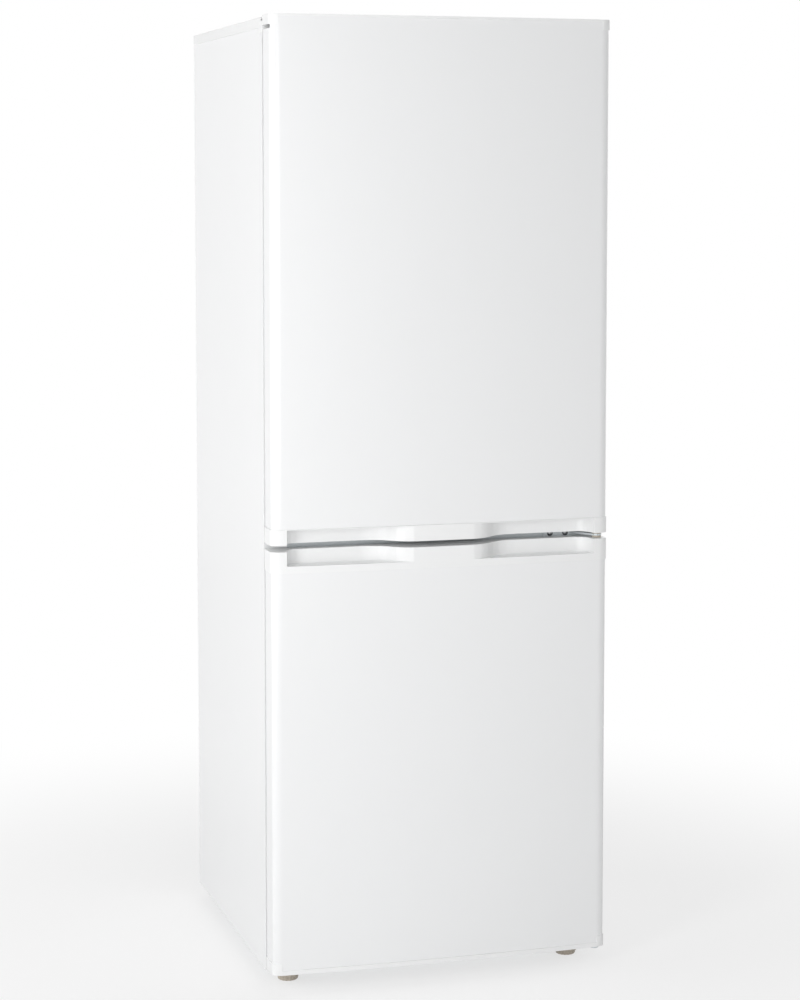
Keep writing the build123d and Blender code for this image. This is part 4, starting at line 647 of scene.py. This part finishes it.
def refrigerant_pipes():
    """Discharge, suction and capillary pipes."""
    x, y, _ = middle("compressor")
    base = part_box("compressor")[0][2] / MM
    bay_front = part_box("compressor_deck")[0][1] / MM
    outlet_x = x - OUTLET
    discharge_z = base + DISCHARGE_RISE
    discharge = (
        (outlet_x, y, discharge_z),
        (RISER_X, y, discharge_z),
        (RISER_X, COIL_Y, discharge_z),
        (RISER_X, COIL_Y, COIL_TAIL),
    )
    suction_x = outlet_x - SUCTION_LENGTH
    suction_z = base + SUCTION_RISE
    suction = (
        (outlet_x, y, suction_z),
        (suction_x, y, suction_z),
        (suction_x, bay_front, suction_z),
    )
    capillary = (
        (COIL_HALF, COIL_Y, DRIER_Z[0]),
        (COIL_HALF, COIL_Y, CAPILLARY_Z),
        (COIL_HALF, bay_front, CAPILLARY_Z),
    )
    shape = bmesh.new()
    tube(shape, route(discharge, DISCHARGE_BEND), TUBE_RADIUS)
    tube(shape, route(suction, SUCTION_BEND), SUCTION_RADIUS)
    tube(shape, route(capillary, CAPILLARY_BEND), CAPILLARY_RADIUS)
    mesh = mesh_from("copper_pipes", shape)
    show("copper_pipes", mesh, "refrigerant_pipes", "refrigerant_pipes")


condenser()
evaporator_shelves()
compressor()
refrigerant_pipes()

# ---------------------------------------------------------------- turned pieces
# profiles as rows of radius and height in mm
DRIER = (
    (2.6, 0), (3, 3), (3.4, 6), (7.8, 13), (8.8, 15), (9, 18),
    (9, 82), (8.8, 85), (7.8, 87), (3.4, 94), (3, 97), (2.6, 100),
)
MOUNT = ((9, 0), (10, 0.8), (10, 3), (7.5, 4.5), (7.5, 7.5), (10, 9), (10, 11.2), (9, 12))
BULB = (                    # glass, then the screwed base
    (1.5, 0), (5, 1), (8, 3.5), (10.2, 8), (11, 14), (11, 34), (9.6, 41), (7.4, 46), (7, 48),
    (7.4, 50), (6.6, 52), (7.4, 54), (6.6, 56), (7.4, 58), (6.6, 60), (6, 63), (3, 66),
)
CROSS = 0.75                # power of the rings that make a screw's recess
SCREW = ((5.8, 0), (5.8, 1), (5.2, 2.8), (3.9, 4.5), (3.0, 5.1, CROSS), (2.4, 3.2, CROSS))
FOOT = (
    (13, 0), (15.5, 0.8), (16.5, 3), (17, 7),
    (19.4, 7.6), (20, 9), (20, 13), (19, 14.4), (8, 15),
)
FOOT_LOBES = 16
STEM = ((5.4, 15), (6, 39))
ROLLER_HALF = (             # from the bore out to the tread, on one side
    (4.3, 8.5), (10, 9), (11.5, 8.4), (12, 6.5), (16, 6.5), (16.5, 8.4), (18, 9), (19.3, 8.5),
    (20, 7),
)
ROLLER = tuple((radius, -height) for radius, height in ROLLER_HALF) + ROLLER_HALF[::-1]


def turned_piece(like, profile, places, **options):
    """A group of like turned solids in place of the CAD node."""
    shape = bmesh.new()
    for place in places:
        turned(shape, profile, place, **options)
    show(f"turned_{like}", mesh_from(f"turned_{like}", shape), like, like)


def solids_of(name):
    """The middle of each separate solid in a CAD node, in mm."""
    shape = bmesh.new()
    shape.from_mesh(nodes[name].data)
    bmesh.ops.remove_doubles(shape, verts=shape.verts, dist=WELD)
    left = dict.fromkeys(shape.verts)
    places = []
    while left:
        solid = [left.popitem()[0]]
        for vertex in solid:
            for edge in vertex.link_edges:
                other = edge.other_vert(vertex)
                if other in left:
                    del left[other]
                    solid.append(other)
        low = [min(vertex.co[axis] for vertex in solid) for axis in range(3)]
        high = [max(vertex.co[axis] for vertex in solid) for axis in range(3)]
        places.append([(a + b) / 2 / MM for a, b in zip(low, high)])
    shape.free()
    return places


def filter_drier():
    """Copper drier between the condenser and the capillary pipe."""
    x, y, _ = middle("filter_drier")
    turned_piece("filter_drier", DRIER, [(x, y, DRIER_Z[0])])


def compressor_mounts():
    """Rubber mounts with a waist."""
    half = MOUNT[-1][1] / 2
    places = [(x, y, z - half) for x, y, z in solids_of("compressor_mounts")]
    turned_piece("compressor_mounts", MOUNT, places)


def lamp():
    """Bulb lying along X."""
    x, y, z = middle("lamp")
    turned_piece("lamp", BULB, [(x - BULB[-1][1] / 2, y, z)], axis=(1, 0, 0))


def hinge_screws():
    """Cross-head screws in the cabinet's front."""
    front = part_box("hinge_screws")[1][1] / MM
    places = [(x, front, z) for x, _, z in solids_of("hinge_screws")]
    turned_piece("hinge_screws", SCREW, places, axis=(0, -1, 0), sides=32)


def levelling_foot(name):
    """Foot with a gripped rim on its stem."""
    x, y, _ = middle(name)
    shape = bmesh.new()
    turned(shape, FOOT, (x, y, 0), sides=96, lobes=FOOT_LOBES)
    turned(shape, STEM, (x, y, 0), sides=24)
    show(f"turned_{name}", mesh_from(name, shape), name, name)


def rear_roller(name):
    """Roller with a hub, turning about X."""
    turned_piece(name, ROLLER, [middle(name)], axis=(1, 0, 0), sides=48)


filter_drier()
compressor_mounts()
lamp()
hinge_screws()
for side in ("left", "right"):
    levelling_foot(f"front_{side}_foot")
    rear_roller(f"rear_{side}_roller")
